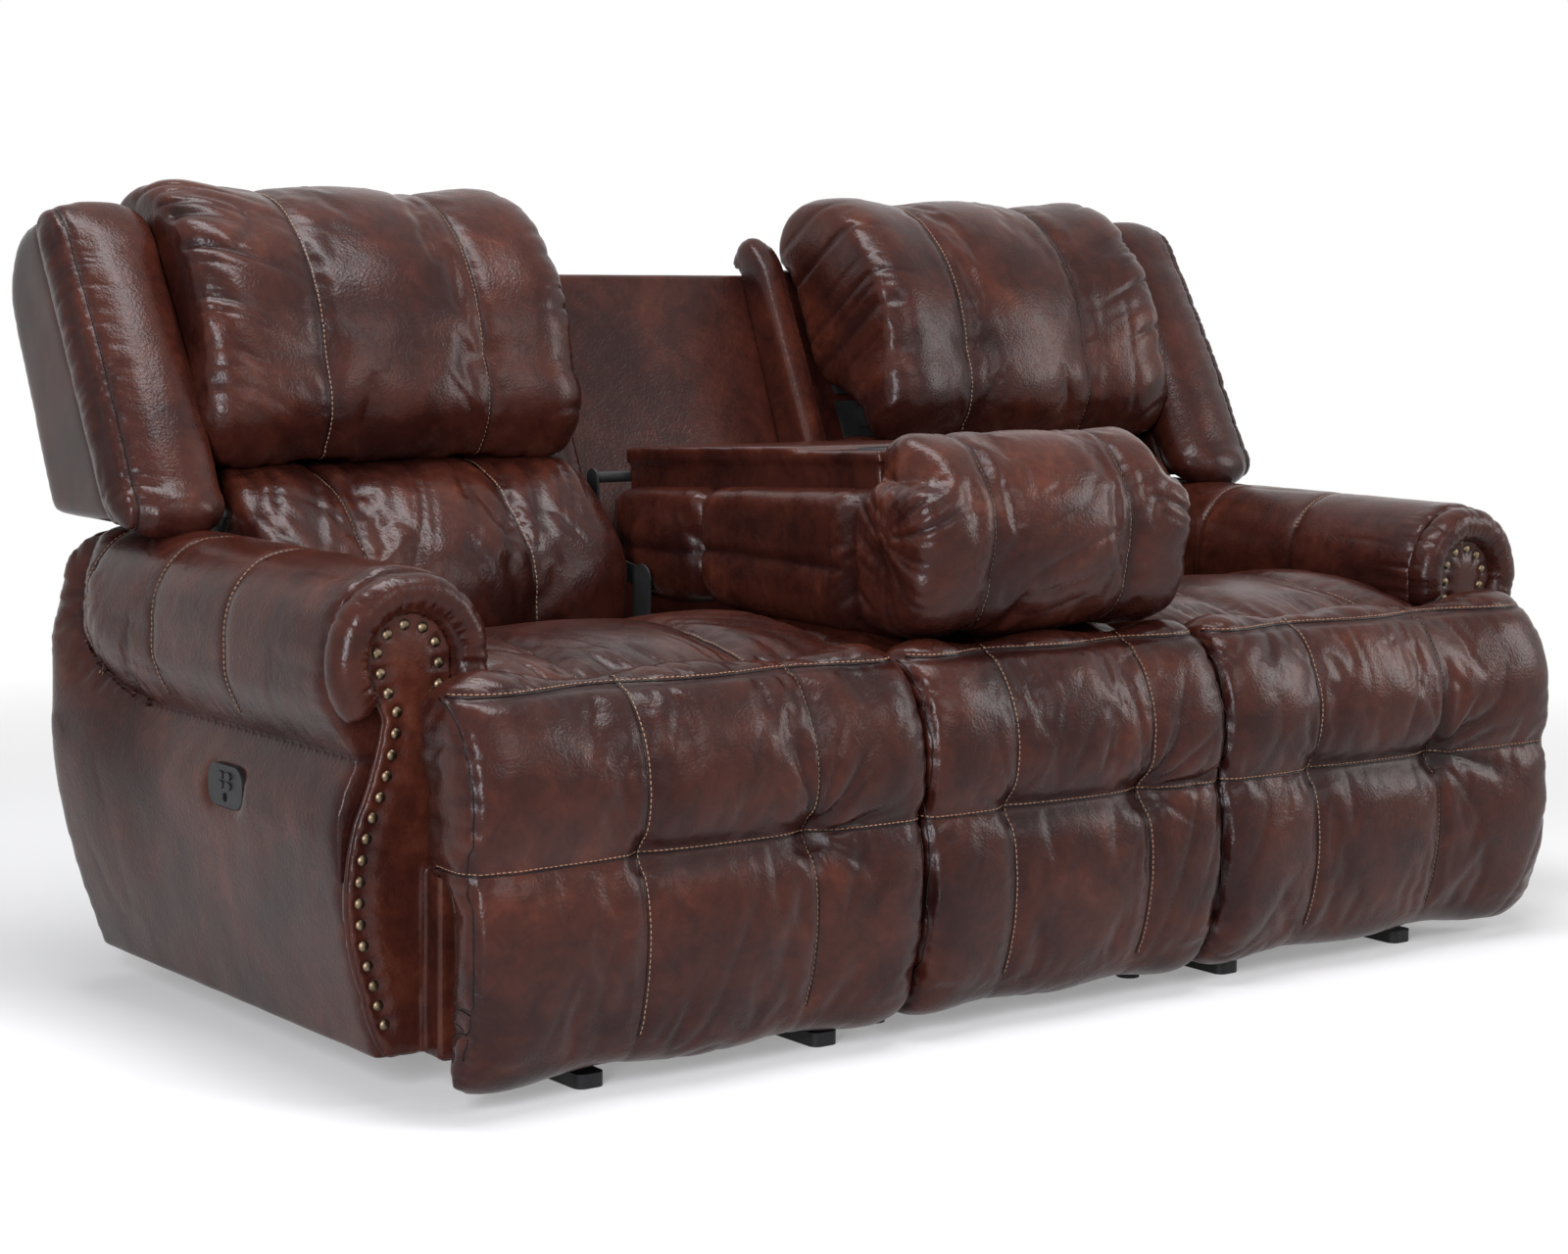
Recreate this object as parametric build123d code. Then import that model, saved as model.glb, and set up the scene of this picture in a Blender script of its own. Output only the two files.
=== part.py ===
"""Three-place power reclining sofa whose centre back folds down into a console.

Frame: X to the viewer's right, Y to the rear, Z up, floor at Z = 0, middle of the sofa at X = 0.
The rest pose has the console down, both backs upright and both footrests closed.
"""
from build123d import *
from math import atan2, cos, degrees, hypot, radians, sin, tan
import os

os.makedirs("parts", exist_ok=True)

# ---- Widths, all in millimetres ----
centre_half = 257.0        # half width of the fixed front pad in the middle
place_gap = 3.0            # between the pads of two neighbouring places
place_width = 543.0        # of one recliner, from its inner side to the arm
arm_gap = 5.0              # between a recliner and the arm
roll_radius = 100.0        # of the rolled arm, which is twice this wide
ear_reach = 122.0          # how far the pad's ear passes in front of the arm
cushion_side_gap = 4.0     # kept at both sides of a recliner's cushions
wing_width = 138.0         # of the padded wing over the arm
wing_inset = 8.0           # of the wing's outer face inside the arm's
seam_inner = 175.0         # from the recliner's inner side to its first seam
seam_spacing = 250.0       # between the two upright seams of a cushion
centre_seam = 118.0        # from the middle to each seam of the centre cushions

# ---- Heights ----
foot_height = 18.0
arm_bottom = 45.0
seat_top = 505.0
seat_bottom = 398.0
roll_axis_z = 528.0
pad_bottom = 28.0
sofa_height = 1073.0
wing_below = 37.0          # of the wing's top below the head pillow's crown
inner_wing_below = 67.0    # of the inner wing's top, measured in the same way
shell_below = 113.0        # of the shell's top
rear_panel_below = 120.0   # of the rear panel's top
knee_below = 175.0         # of the line where the sloping rear turns upright
pillow_length = 367.0      # of the head pillow, from its crown to its lower edge
pillow_gap = 12.0          # between the head pillow and the lumbar cushion
headrest_below = 345.0     # of the headrest's pivot
rear_panel_thick = 26.0
inner_wing_bottom = 636.0  # above the sweep of the console's arms

# ---- Depths ----
front_reach = 543.0        # from the middle to the front of the pads
rear_reach = 546.0         # from the middle to the back of the sofa
pad_depth = 113.0          # of the front pads, before the boards that carry them
board_thick = 15.0
arm_setback = 191.0        # of the arm's body behind the front of the pads
panel_thick = 18.0
arm_short = 151.0          # of the arm's rear end in front of the sofa's back
seat_setback = 32.0        # of the seat cushions behind the boards' faces
seat_gap = 13.0            # between a recliner's seat and the lumbar cushion's face
centre_seat_gap = 31.0     # the same for the seat under the console
seat_crown = 513.0         # highest line of a recliner's seat
centre_crown = 501.0       # of the seat under the console

# ---- Back ----
back_lean = 25.0           # degrees from upright
wing_lean = 29.5
shell_thick = 58.0
knee_inset = 2.0           # of the sloping rear inside the sofa's back
wing_clear = 7.0           # between the wing and the arm below it
wing_depth = 246.0         # of the wing at its lower edge
band_depth = 52.0          # of the wing's padding, front to rear
pivot_height = 330.0       # of the back's pivot
pivot_cover = 30.0         # from the back's pivot to the shell's rear face
back_tube_radius = 10.0
headrest_ahead = 107.0     # of the headrest's pivot in front of the shell's board
headrest_rod_radius = 8.0
lumbar_reach = 152.0       # of the lumbar cushion's face in front of the back's pivot
plate_thick = 4.0          # of every steel plate
run_gap = 0.05             # radial, of a pin that turns in its hole

# ---- Recliner mechanism ----
link_length = 195.0
link_width = 24.0
drive_rest = -75.0         # degrees from straight forward, up is positive
front_rest = 60.0
drive_setback = 231.0      # of the drive pivot behind the boards' faces
drive_height = 360.0
steady_offset = (30.0, -33.0)
knee_step = (-28.0, 0.0)
lower_offset = (-21.0, -40.0)
link_pin_radius = 5.0
layer_gap = 1.0
mechanism_inset = 10.0     # of the side plates from the recliner's sides
torque_tube_radius = 11.0
tube_wall = 2.5
plate_reach = 14.0         # of a plate past the pivots it holds
deck_thick = 13.0
rod_radius = 8.0
rod_height = 335.0
rod_inset = 100.0          # of the slide rods from the recliner's sides
rod_length = 200.0
rod_ahead = 89.0           # of the slide rods' rear ends in front of the back's pivot
cross_depth = 20.0
cross_height = 30.0
block_length = 60.0
rail_inset = 95.0          # of the floor rails from the recliner's sides
rail_width = 30.0
rail_height = 24.0
rail_setback = 20.0        # of the rails' front ends behind the boards' faces
rail_ahead = 9.0           # of their rear ends in front of the back's pivot

# ---- Console ----
console_pivot_depth = 427.0  # from the sofa's back to the console's pivot
console_pivot_height = 534.0
console_tilt = 3.5         # degrees that its front end stands up
table_rear_depth = 309.0   # from the sofa's back to the table's rear edge
table_rear_height = 645.0
table_half = 196.0
table_side = 6.0           # of the cap past the rail on each side
rail_depth = 44.0
rail_wall = 18.0
cap_low = 14.0
cap_high = 20.0
cap_step = 395.0           # from the table's rear to the step in its cap
table_length = 583.0
console_half = 240.0
lumbar_length = 218.0
cushion_split = 5.0        # between the two folded cushions of the centre back
underside = 513.0
roll_top = 750.0
roll_setback = 61.0        # of the console's roll behind the front of the pads
console_pin_radius = 6.0
cup_radius = 43.5
cup_wall = 2.5
cup_depth = 48.0
cup_rim = 6.0
cup_spacing = 200.0
cup_place = 500.0          # from the table's rear to the cup holders
shoulder_half = 203.0      # half width of the roll above the table's level
console_ear_gap = 1.0

# ---- Trim ----
nail_radius = 6.5
nail_height = 4.0
nail_spacing = 25.0
nail_inset = 15.0
arch_drop = 10.0           # of the face panel's arch below the roll's middle
ring_inner = 60.0
ring_depth = 36.0
ring_start = 40.0          # degrees below level, where the rim begins on the outer side
crease_depth = 42.0        # of the crease under the roll, in from the arm's side
crease_height = 404.0
crease_turn = 28.0         # degrees of the crease's slow bend, before its quick one
crease_slow = 332.0        # radius of the slow bend
crease_quick = 117.0
crease_margin = 57.0       # of the risen crease in front of the arm's rear end
switch_centre = (-70.0, 336.0)
switch_size = (90.0, 52.0)
switch_corner = 20.0
switch_thick = 12.0
switch_inset = 15.0        # of the plate's face inside the arm's side
button_size = (15.0, 9.0)
button_gap = 0.4
button_proud = 2.5
button_spread = 20.0
button_rows = (13.0, 1.0)
port_radius = 6.0
port_drop = -14.0
port_depth = 6.0
post_width = 55.0          # of the padded post beside the footrest
post_inset = 27.0          # of the post inside the arm's inner side
post_depth = 35.0
post_top = 275.0
board_inset = 102.0        # of the footrest's board inside the end of its ear
flap_inset = 97.0          # of the thinner lower corner of the ear, from its end
flap_rear = 45.0           # of that corner's rear face in front of the boards' faces
foot_length = 110.0
foot_width = 40.0
foot_ahead = 45.0          # of the front feet before the rails' front ends
centre_foot_radius = 16.0
base_board = 18.0
box_step = 78.0            # down from the centre box's front part to its rear part
box_behind = 41.0          # of the rear board behind the back's pivot
front_drop = 14.0          # of the box's front board, under the pad's overhang

# ---- Places worked out from the sizes above, widths first ----
rec_in = centre_half + place_gap
rec_out = rec_in + place_width
arm_in = rec_out + arm_gap
arm_mid = arm_in + roll_radius
arm_out = arm_mid + roll_radius
wing_out = arm_out - wing_inset
wing_in = wing_out - wing_width
wing_bottom = roll_axis_z + roll_radius + wing_clear
pad_out = rec_out + ear_reach
seam_a = rec_in + seam_inner
seam_b = seam_a + seam_spacing
slope = tan(radians(back_lean))
wing_slope = tan(radians(wing_lean))

wing_top = sofa_height - wing_below
inner_wing_top = sofa_height - inner_wing_below
shell_top = sofa_height - shell_below
rear_panel_top = sofa_height - rear_panel_below
knee_height = sofa_height - knee_below
pillow_bottom = sofa_height - pillow_length
lumbar_top = pillow_bottom - pillow_gap

board_front = pad_depth - front_reach
arm_front = arm_setback - front_reach
roll_front = roll_setback - front_reach
seat_front = board_front + seat_setback
rail_front = board_front + rail_setback
drive_pivot = (board_front + drive_setback, drive_height)

arm_rear = rear_reach - arm_short
console_pivot = (rear_reach - console_pivot_depth, console_pivot_height)
table_rear = (rear_reach - table_rear_depth, table_rear_height)


def y_rear(z):
    """Rear face of the reclining shell, below the knee."""
    return rear_reach - knee_inset + (z - knee_height) * slope


def y_board(z):
    """Front face of the shell's board."""
    return y_rear(z) - shell_thick


back_pivot = (y_rear(pivot_height) - pivot_cover, pivot_height)
headrest_height = sofa_height - headrest_below
headrest_pivot = (y_board(headrest_height) - headrest_ahead, headrest_height)
wing_foot = y_rear(wing_bottom) - wing_depth
lumbar_face = back_pivot[0] - lumbar_reach
seat_rear = lumbar_face - seat_gap
centre_seat_rear = lumbar_face - centre_seat_gap
rod_rear = back_pivot[0] - rod_ahead
rod_front = rod_rear - rod_length
rail_rear = back_pivot[0] - rail_ahead
box_rear = back_pivot[0] + box_behind
panel_low = seat_bottom - box_step

def outline(points, centre=(0.0, 0.0), size=1.0):
    """Face from a start, then line ends or (middle, end) of arcs, scaled about a centre."""
    def at(point):
        return tuple(c + (v - c) * size for v, c in zip(point, centre))
    edges, here = [], at(points[0])
    for step in points[1:] + points[:1]:
        if isinstance(step[0], tuple):
            end = at(step[1])
            edges.append(ThreePointArc(here, at(step[0]), end))
        else:
            end = at(step)
            edges.append(Line(here, end))
        here = end
    return make_face(edges)


def across(x):
    """Plane whose local axes are Y and Z, at a distance X."""
    return Plane.YZ.offset(x)


def facing(y):
    """Plane whose local axes are X and Z, looking forward from a depth Y."""
    return Plane((0, y, 0), x_dir=(1, 0, 0), z_dir=(0, -1, 0))


def prism(profile, x0, x1):
    """A side profile carried from one X to another."""
    face = outline(profile) if isinstance(profile, list) else profile
    return extrude(across(x0) * face, amount=x1 - x0)


def disc(centre, radius):
    return Pos(*centre) * Circle(radius)


def rod(centre, radius, x0, x1):
    return prism(disc(centre, radius), x0, x1)


def slab(a, b, width, x0, x1):
    """A flat link with round ends about two pivots."""
    length = hypot(b[0] - a[0], b[1] - a[1])
    turn = degrees(atan2(b[1] - a[1], b[0] - a[0]))
    middle = Pos((a[0] + b[0]) / 2, (a[1] + b[1]) / 2)
    return prism(middle * Rot(0, 0, turn) * SlotCenterToCenter(length, width), x0, x1)


def box(x0, x1, y0, y1, z0, z1):
    return prism(Pos((y0 + y1) / 2, (z0 + z1) / 2) * Rectangle(y1 - y0, z1 - z0), x0, x1)


def cushion(profile, anchor, stations):
    """Loft of one side profile along X; each station gives a place and a share of full size."""
    faces = [across(x) * outline(profile, anchor, size) for x, size in stations]
    return loft(faces)


def seamed(x0, x1, seams, end=0.91, seam=0.965):
    """Stations of a cushion: drawn-in ends, crowned panels and a channel at each seam."""
    stops = [x0] + list(seams) + [x1]
    shoulder = 20.0
    places = [(x0, end), (x0 + shoulder, (1 + end) / 2 + 0.02)]
    for a, b in zip(stops[:-1], stops[1:]):
        places.append(((a + b) / 2, 1.0))
        if b != x1:
            places.append((b, seam))
    return places + [(x1 - shoulder, (1 + end) / 2 + 0.02), (x1, end)]


def put(name, *solids):
    """Writes one node, made of one solid or of several that lie apart."""
    shape = solids[0] if len(solids) == 1 else Compound(children=list(solids))
    export_step(shape, f"parts/{name}.step")


def both(solid):
    """A piece and its mirror image in the sofa's middle."""
    return [solid, mirror(solid, about=Plane.YZ)]


def put_sides(name, solid, *more):
    """Writes a piece for the right side and its mirror image for the left."""
    solids = [solid, *more]
    put(f"{name}_right", *solids)
    put(f"{name}_left", *[mirror(s, about=Plane.YZ) for s in solids])


def y_wing(z):
    """Front line of the wing."""
    return wing_foot + (z - wing_bottom) * wing_slope


def shifted(point, step):
    return (point[0] + step[0], point[1] + step[1])


def polar(length, angle):
    """A step forward (towards -Y) and up by an angle in degrees."""
    return (-length * cos(radians(angle)), length * sin(radians(angle)))


def on_table(t, n):
    """A point t forward of the table's rear edge and n above its rails' lower face."""
    c, s = cos(radians(console_tilt)), sin(radians(console_tilt))
    return (table_rear[0] - t * c + n * s, table_rear[1] + t * s + n * c)


# ---- Arms ----
def arm_section():
    """Section of the arm: straight inner side, round top and bulging outer side."""
    half = roll_radius * sin(radians(45))
    return outline([
        (arm_in, arm_bottom), (arm_in, roll_axis_z),
        ((arm_mid - half, roll_axis_z + half), (arm_mid, roll_axis_z + roll_radius)),
        ((arm_mid + half, roll_axis_z + half), (arm_out, roll_axis_z)),
        ((arm_out - 4.0, roll_axis_z - 128.0), (arm_out - 17.0, roll_axis_z - 274.0)),
        ((arm_out - 36.0, arm_bottom + 98.0), (arm_out - 65.0, arm_bottom))])


def arm_side():
    """Side view of the arm: its top falls at the rear, clear of the wing's sweep."""
    top = roll_axis_z + roll_radius
    return outline([
        (arm_front, arm_bottom), (arm_front, top), (arm_rear - 100.0, top),
        ((arm_rear - 43.0, top - 17.0), (arm_rear, top - 62.0)), (arm_rear, arm_bottom)])


def arm_plan():
    """Plan of the arm with its rounded outer rear corner."""
    far = arm_out + 2.0
    return outline([
        (arm_in, arm_front), (far, arm_front), (far, arm_rear - 52.0),
        ((far - 15.0, arm_rear - 15.0), (far - 52.0, arm_rear)), (arm_in, arm_rear)])


def crease_path():
    """Line of the crease: level under the roll, then curling up round the arm's rear."""
    turn = radians(crease_turn)
    end = arm_rear - crease_margin
    joint = (end - crease_quick * (1 - sin(turn)), crease_height + crease_slow * (1 - cos(turn)))
    bend = (joint[0] - crease_slow * sin(turn), crease_height)
    rise = (end, joint[1] + crease_quick * cos(turn))
    slow = shifted(bend, (crease_slow * sin(turn / 2), crease_slow * (1 - cos(turn / 2))))
    steep = (turn + radians(90)) / 2
    quick = (rise[0] - crease_quick * (1 - sin(steep)), rise[1] - crease_quick * cos(steep))
    path = [Line((arm_front - 8.0, crease_height), bend), ThreePointArc(bend, slow, joint),
            ThreePointArc(joint, quick, rise), Line(rise, (end, roll_axis_z + roll_radius + 12.0))]
    return across(arm_out - crease_depth) * Wire(path)


def crease():
    """Waste between the roll and the arm's side, carried along the crease."""
    wide = crease_depth + 32.0
    section = outline([
        (wide, -112.0), (32.0, -112.0), ((19.0, -34.0), (0.0, 0.0)),
        ((34.0, 52.0), (45.0, 100.0)), (wide, 100.0)])
    start = Plane((arm_out - crease_depth, arm_front - 8.0, crease_height),
                  x_dir=(1, 0, 0), z_dir=(0, -1, 0))
    return sweep(start * section, crease_path())


def arm():
    """Rolled arm with a crease under its roll."""
    body = extrude(facing(arm_front) * arm_section(), amount=arm_front - arm_rear)
    body &= prism(arm_side(), arm_in, arm_out)
    body &= Pos(0, 0, arm_bottom) * extrude(arm_plan(), amount=roll_axis_z + roll_radius)
    return body - crease() - switch_pocket()


def arm_panel_face():
    """Outline of the nailed face panel: arch, waist, bulge and foot."""
    arch_x, arch_z = arm_mid, roll_axis_z - arch_drop
    inner = arch_x - ring_inner + 5.0
    outer = arch_x + ring_inner - 2.0
    waist = (outer - 28.0, arch_z - 65.0)
    belly = (arm_out - 33.0, waist[1] - 118.0)
    hip = (arm_out - 40.0, arm_bottom + 85.0)
    foot = (arm_out - 70.0, arm_bottom + 10.0)
    return outline([
        (inner, arm_bottom + 10.0), (inner, arch_z),
        ((arch_x, arch_z + ring_inner - 2.0), (outer, arch_z)),
        ((outer - 13.0, arch_z - 34.0), waist),
        ((waist[0] + 12.0, waist[1] - 55.0), belly),
        ((arm_out - 19.0, (belly[1] + hip[1]) / 2 + 12.0), hip),
        ((foot[0] + 18.0, foot[1] + 32.0), foot)])


def arm_panel():
    return extrude(facing(arm_front) * arm_panel_face(), amount=panel_thick)


def side_post():
    """Padded post on the face panel's foot, beside the footrest."""
    x0 = arm_in + post_inset
    front = arm_front - panel_thick
    face = Pos(x0 + post_width / 2, front - post_depth / 2) * RectangleRounded(
        post_width, post_depth, 8.0)
    face += Pos(x0 + post_width / 2, front - post_depth / 4) * Rectangle(post_width, post_depth / 2)
    return Pos(0, 0, arm_bottom + 5.0) * extrude(face, amount=post_top - arm_bottom - 5.0)


def arm_ring():
    """Gathered padded rim round the arch, from the waist over the top to the seat side."""
    centre = (arm_mid, arm_front, roll_axis_z - arch_drop)
    outer = roll_radius
    section = outline([
        (ring_inner, 0.0), (ring_inner, -panel_thick),
        ((0.5 * (ring_inner + outer), -ring_depth), (outer, -12.0)), (outer, 0.0)])
    c, s = cos(radians(ring_start)), sin(radians(ring_start))
    start = Plane(centre, x_dir=(c, 0, -s), z_dir=(s, 0, c))
    return revolve(start * section, Axis(centre, (0, -1, 0)), revolution_arc=200.0 + ring_start)


def nails():
    """Domed nail heads along the face panel's edge, above its foot and clear of its post."""
    path = offset(arm_panel_face().wire(), amount=-nail_inset, kind=Kind.ARC).wire()
    count = round(path.length / nail_spacing)
    head = extrude(RegularPolygon(nail_radius, 8), amount=nail_height, taper=38)
    spots = [path.position_at(i / count) for i in range(count)]
    low = arm_bottom + 10.0 + nail_inset + nail_radius
    front = facing(arm_front - panel_thick)
    beside = arm_in + post_inset + post_width + nail_radius
    above = post_top + nail_radius
    return [front * Pos(p.X, p.Y) * head for p in spots
            if p.Y > low and (p.X > beside or p.Y > above)]


def plate_outline(grow=0.0):
    return Pos(*switch_centre) * RectangleRounded(
        switch_size[0] + 2 * grow, switch_size[1] + 2 * grow, switch_corner + grow)


switch_face = arm_out - switch_inset
switch_back = switch_face - switch_thick


def switch_pocket():
    return prism(plate_outline(0.3), switch_back, arm_out)


def button_spots():
    return [(switch_centre[0] + side * button_spread / 2, switch_centre[1] + row)
            for row in button_rows for side in (-1, 1)]


def oval(centre, grow=0.0):
    length, height = button_size
    return Pos(*centre) * SlotOverall(length + 2 * grow, height + 2 * grow)


def switch_plate():
    """Oval-cornered switch plate with four button wells and one round port."""
    plate = prism(plate_outline(), switch_back, switch_face)
    for spot in button_spots():
        plate -= prism(oval(spot, button_gap), switch_back + plate_thick, switch_face)
    port = (switch_centre[0], switch_centre[1] + port_drop)
    return plate - rod(port, port_radius, switch_face - port_depth, switch_face)


def button(spot):
    return prism(oval(spot), switch_face - 5.0, switch_face + button_proud)


# ---- Base ----
def base_boards():
    """Wooden box under the centre place, with the rear board between the arms."""
    outer = console_half + 7.0
    top = seat_bottom
    step = centre_seat_rear - 6.0
    rear = box_rear
    start, lip = board_front + base_board, top - front_drop
    side = outline([
        (start, arm_bottom), (start, lip), (seat_front, lip), (seat_front, top), (step, top),
        (step, top - box_step), (rear, top - box_step), (rear, arm_bottom)])
    sides = both(prism(side, outer - base_board, outer))
    front = box(-outer, outer, board_front, start, arm_bottom, lip)
    deck = box(base_board - outer, outer - base_board, seat_front, step, top - base_board, top)
    deck += box(base_board - outer, outer - base_board, start, seat_front, top - base_board, lip)
    back = box(-arm_in, arm_in, rear, rear + base_board, arm_bottom, back_pivot[1] - 28.0)
    return sides[0] + sides[1] + front + deck + back


def base_rails():
    """Steel floor rails, uprights, cross rails, slide rods and back pivot plates of one recliner."""
    low, high = rod_height - cross_height / 2, rod_height + cross_height / 2
    ends = (rec_in - 3.0, arm_in)
    steel = None
    for y in (rod_front - cross_depth, rod_rear):
        bar = box(ends[0], ends[1], y, y + cross_depth, low, high)
        steel = bar if steel is None else steel + bar
    for inset in (rail_inset, place_width - rail_inset):
        x = rec_in + inset
        half = rail_width / 2
        steel += box(x - half, x + half, rail_front, rail_rear, foot_height, foot_height + rail_height)
        for y in (rod_front - cross_depth, rod_rear):
            steel += box(x - half, x + half, y, y + cross_depth, foot_height + rail_height, low)
    for inset in (rod_inset, place_width - rod_inset):
        runner = Plane((rec_in + inset, rod_front, rod_height), z_dir=(0, 1, 0))
        steel += extrude(runner * Circle(rod_radius), amount=rod_rear - rod_front)
    root = (rod_rear + cross_depth / 2, rod_height)
    for x in (ends[0], arm_in - plate_thick):
        ear = slab(root, back_pivot, 2 * (back_tube_radius + plate_reach - 2.0), x, x + plate_thick)
        steel += ear - rod(back_pivot, back_tube_radius + run_gap, x, x + plate_thick)
    return steel


def feet():
    """Plastic glides under the ends of the floor rails, and two round ones in the middle."""
    pads = []
    for inset in (rail_inset, place_width - rail_inset):
        x = rec_in + inset
        for y in (rail_front - foot_ahead, rail_rear - foot_length):
            glide = Pos(x, y + foot_length / 2) * RectangleRounded(foot_width, foot_length, 12)
            pads += both(extrude(glide, amount=foot_height))
    for y in (board_front + 45.0, back_pivot[0] - 10.0):
        post = Pos(centre_seam * 2 - 10.0, y) * Circle(centre_foot_radius)
        pads += both(extrude(post, amount=arm_bottom))
    return pads


# ---- Front pads and seats ----
def pad_profile():
    """Front pad, from its board: rolled top, two bellies parted by the cross seam, tucked foot."""
    face = board_front
    f = -front_reach
    top = seat_top
    low = pad_bottom
    return [
        (face, seat_bottom), (seat_front - 8.0, seat_bottom + 8.0), (seat_front - 8.0, top - 18.0),
        ((seat_front - 50.0, top), (f + 53.0, top - 16.0)),
        ((f + 12.0, top - 80.0), (f + 15.0, top - 208.0)),
        ((f, top - 320.0), (f + 26.0, low + 35.0)),
        ((f + 55.0, low + 2.0), (face, low))]


def front_pad(x0, x1, seams):
    anchor = (board_front, 0.5 * (pad_bottom + seat_bottom))
    return cushion(pad_profile(), anchor, seamed(x0, x1, seams, 0.93))


def footrest_pad():
    """Front pad of a recliner; below the post's top, its ear is a thinner flap."""
    pad = front_pad(rec_in, pad_out, (seam_a, seam_b))
    return pad - box(pad_out - flap_inset, pad_out + 5.0, board_front - flap_rear,
                     board_front + 5.0, 0.0, post_top)


def seat_profile(rear, crown):
    """Seat cushion: a valley behind the pad's roll, then the crowned seat."""
    return [
        (seat_front, seat_bottom), (seat_front, crown - 28.0),
        ((seat_front + 0.45 * (rear - seat_front), crown), (rear - 8.0, seat_top - 50.0)),
        ((rear - 1.0, seat_top - 60.0), (rear, seat_top - 75.0)), (rear, seat_bottom)]


def seat(x0, x1, seams, rear, crown):
    anchor = (0.5 * (seat_front + rear), seat_bottom)
    return cushion(seat_profile(rear, crown), anchor, seamed(x0, x1, seams, 0.93, 0.975))


# ---- Recliner mechanism ----
joints_at = {}
joints_at["drive"] = drive_pivot
joints_at["steady"] = shifted(drive_pivot, steady_offset)
joints_at["knee"] = shifted(drive_pivot, polar(link_length, drive_rest))
joints_at["knee_steady"] = shifted(joints_at["knee"], steady_offset)
joints_at["upper"] = shifted(joints_at["knee"], knee_step)
joints_at["lower"] = shifted(joints_at["upper"], lower_offset)
joints_at["pad"] = shifted(joints_at["upper"], polar(link_length, front_rest))
joints_at["pad_lower"] = shifted(joints_at["pad"], lower_offset)
hole_radius = link_pin_radius + run_gap


def layers(first, count=1):
    """X spans, on the inner and the outer side, of plates counted in from the side plate."""
    step = plate_thick + layer_gap
    near, deep = first * step, first * step + plate_thick + (count - 1) * step
    inner = rec_in + mechanism_inset
    outer = rec_out - mechanism_inset
    return [(inner + near, inner + deep), (outer - deep, outer - near)]


def drilled(make, holes, pins, layer):
    """One plate on each side, with its holes and the pins that reach inward from it."""
    plates = []
    for side, (x0, x1) in enumerate(layers(layer)):
        plate = make(x0, x1)
        for spot in holes:
            plate -= rod(spot, hole_radius, x0, x1)
        for spot, reach in pins:
            depth = reach * (plate_thick + layer_gap)
            start, end = (x1, x1 + depth) if (side == 0) == (reach > 0) else (x0 - depth, x0)
            if reach < 0:
                start, end = (x0 + depth, x0) if side == 0 else (x1, x1 - depth)
            plate += rod(spot, link_pin_radius, start, end)
        plates.append(plate)
    return plates


def seat_frame():
    """Seat deck with a steel side plate for the links and bearing blocks on the slide rods."""
    deck_low = seat_bottom - deck_thick
    inset = mechanism_inset
    deck = box(rec_in + inset, rec_out - inset, seat_front, seat_rear, deck_low, seat_bottom)
    front = joints_at["drive"][0] - plate_reach
    low = joints_at["steady"][1] - plate_reach
    side = outline([
        (front, deck_low), (front, drive_pivot[1] - 10.0), (joints_at["steady"][0] - 12.0, low),
        (joints_at["steady"][0] + 16.0, low), (joints_at["steady"][0] + 46.0, deck_low - 30.0),
        (seat_rear, deck_low - 30.0), (seat_rear, deck_low)])
    spots = [(joints_at["drive"], 1), (joints_at["steady"], 1)]
    frame = deck
    for plate in drilled(lambda a, b: prism(side, a, b), [], spots, 0):
        frame += plate
    block_y = rod_rear - 30.0 - block_length
    for at in (rod_inset, place_width - rod_inset):
        x = rec_in + at
        block = box(x - 20, x + 20, block_y, block_y + block_length, rod_height - 17.0, deck_low)
        bore = Plane((x, block_y, rod_height), z_dir=(0, 1, 0)) * Circle(rod_radius + run_gap)
        frame += block - extrude(bore, amount=block_length)
    return frame


def drive_links():
    """Pair of drive links on one torque tube, which turn the footrest out."""
    a, b = joints_at["drive"], joints_at["knee"]
    pair = drilled(lambda p, q: slab(a, b, link_width, p, q), [a], [(b, 1)], 1)
    x0, x1 = layers(1)[0][1], layers(1)[1][0]
    tube = rod(a, torque_tube_radius, x0, x1) - rod(a, torque_tube_radius - tube_wall, x0, x1)
    return pair[0] + tube + pair[1]


def steady_links():
    a, b = joints_at["steady"], joints_at["knee_steady"]
    return drilled(lambda p, q: slab(a, b, link_width, p, q), [a, b], [], 1)


def knee_plates():
    """Plates that stay level between the rear and the front links."""
    spots = [joints_at[k] for k in ("knee", "knee_steady", "lower", "upper")]
    web = offset(outline(spots), amount=plate_reach, kind=Kind.ARC)
    pins = [(joints_at["knee_steady"], -1), (joints_at["upper"], 1), (joints_at["lower"], 1)]
    return drilled(lambda p, q: prism(web, p, q), [joints_at["knee"]], pins, 2)


def upper_front_links():
    a, b = joints_at["upper"], joints_at["pad"]
    return drilled(lambda p, q: slab(a, b, link_width, p, q), [a], [(b, 2.2)], 3)


def lower_front_links():
    a, b = joints_at["lower"], joints_at["pad_lower"]
    return drilled(lambda p, q: slab(a, b, link_width, p, q), [a, b], [], 3)


def pad_brackets():
    a, b = joints_at["pad"], joints_at["pad_lower"]
    return drilled(lambda p, q: slab(a, b, link_width + 2, p, q), [a], [(b, -1)], 4)


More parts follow.
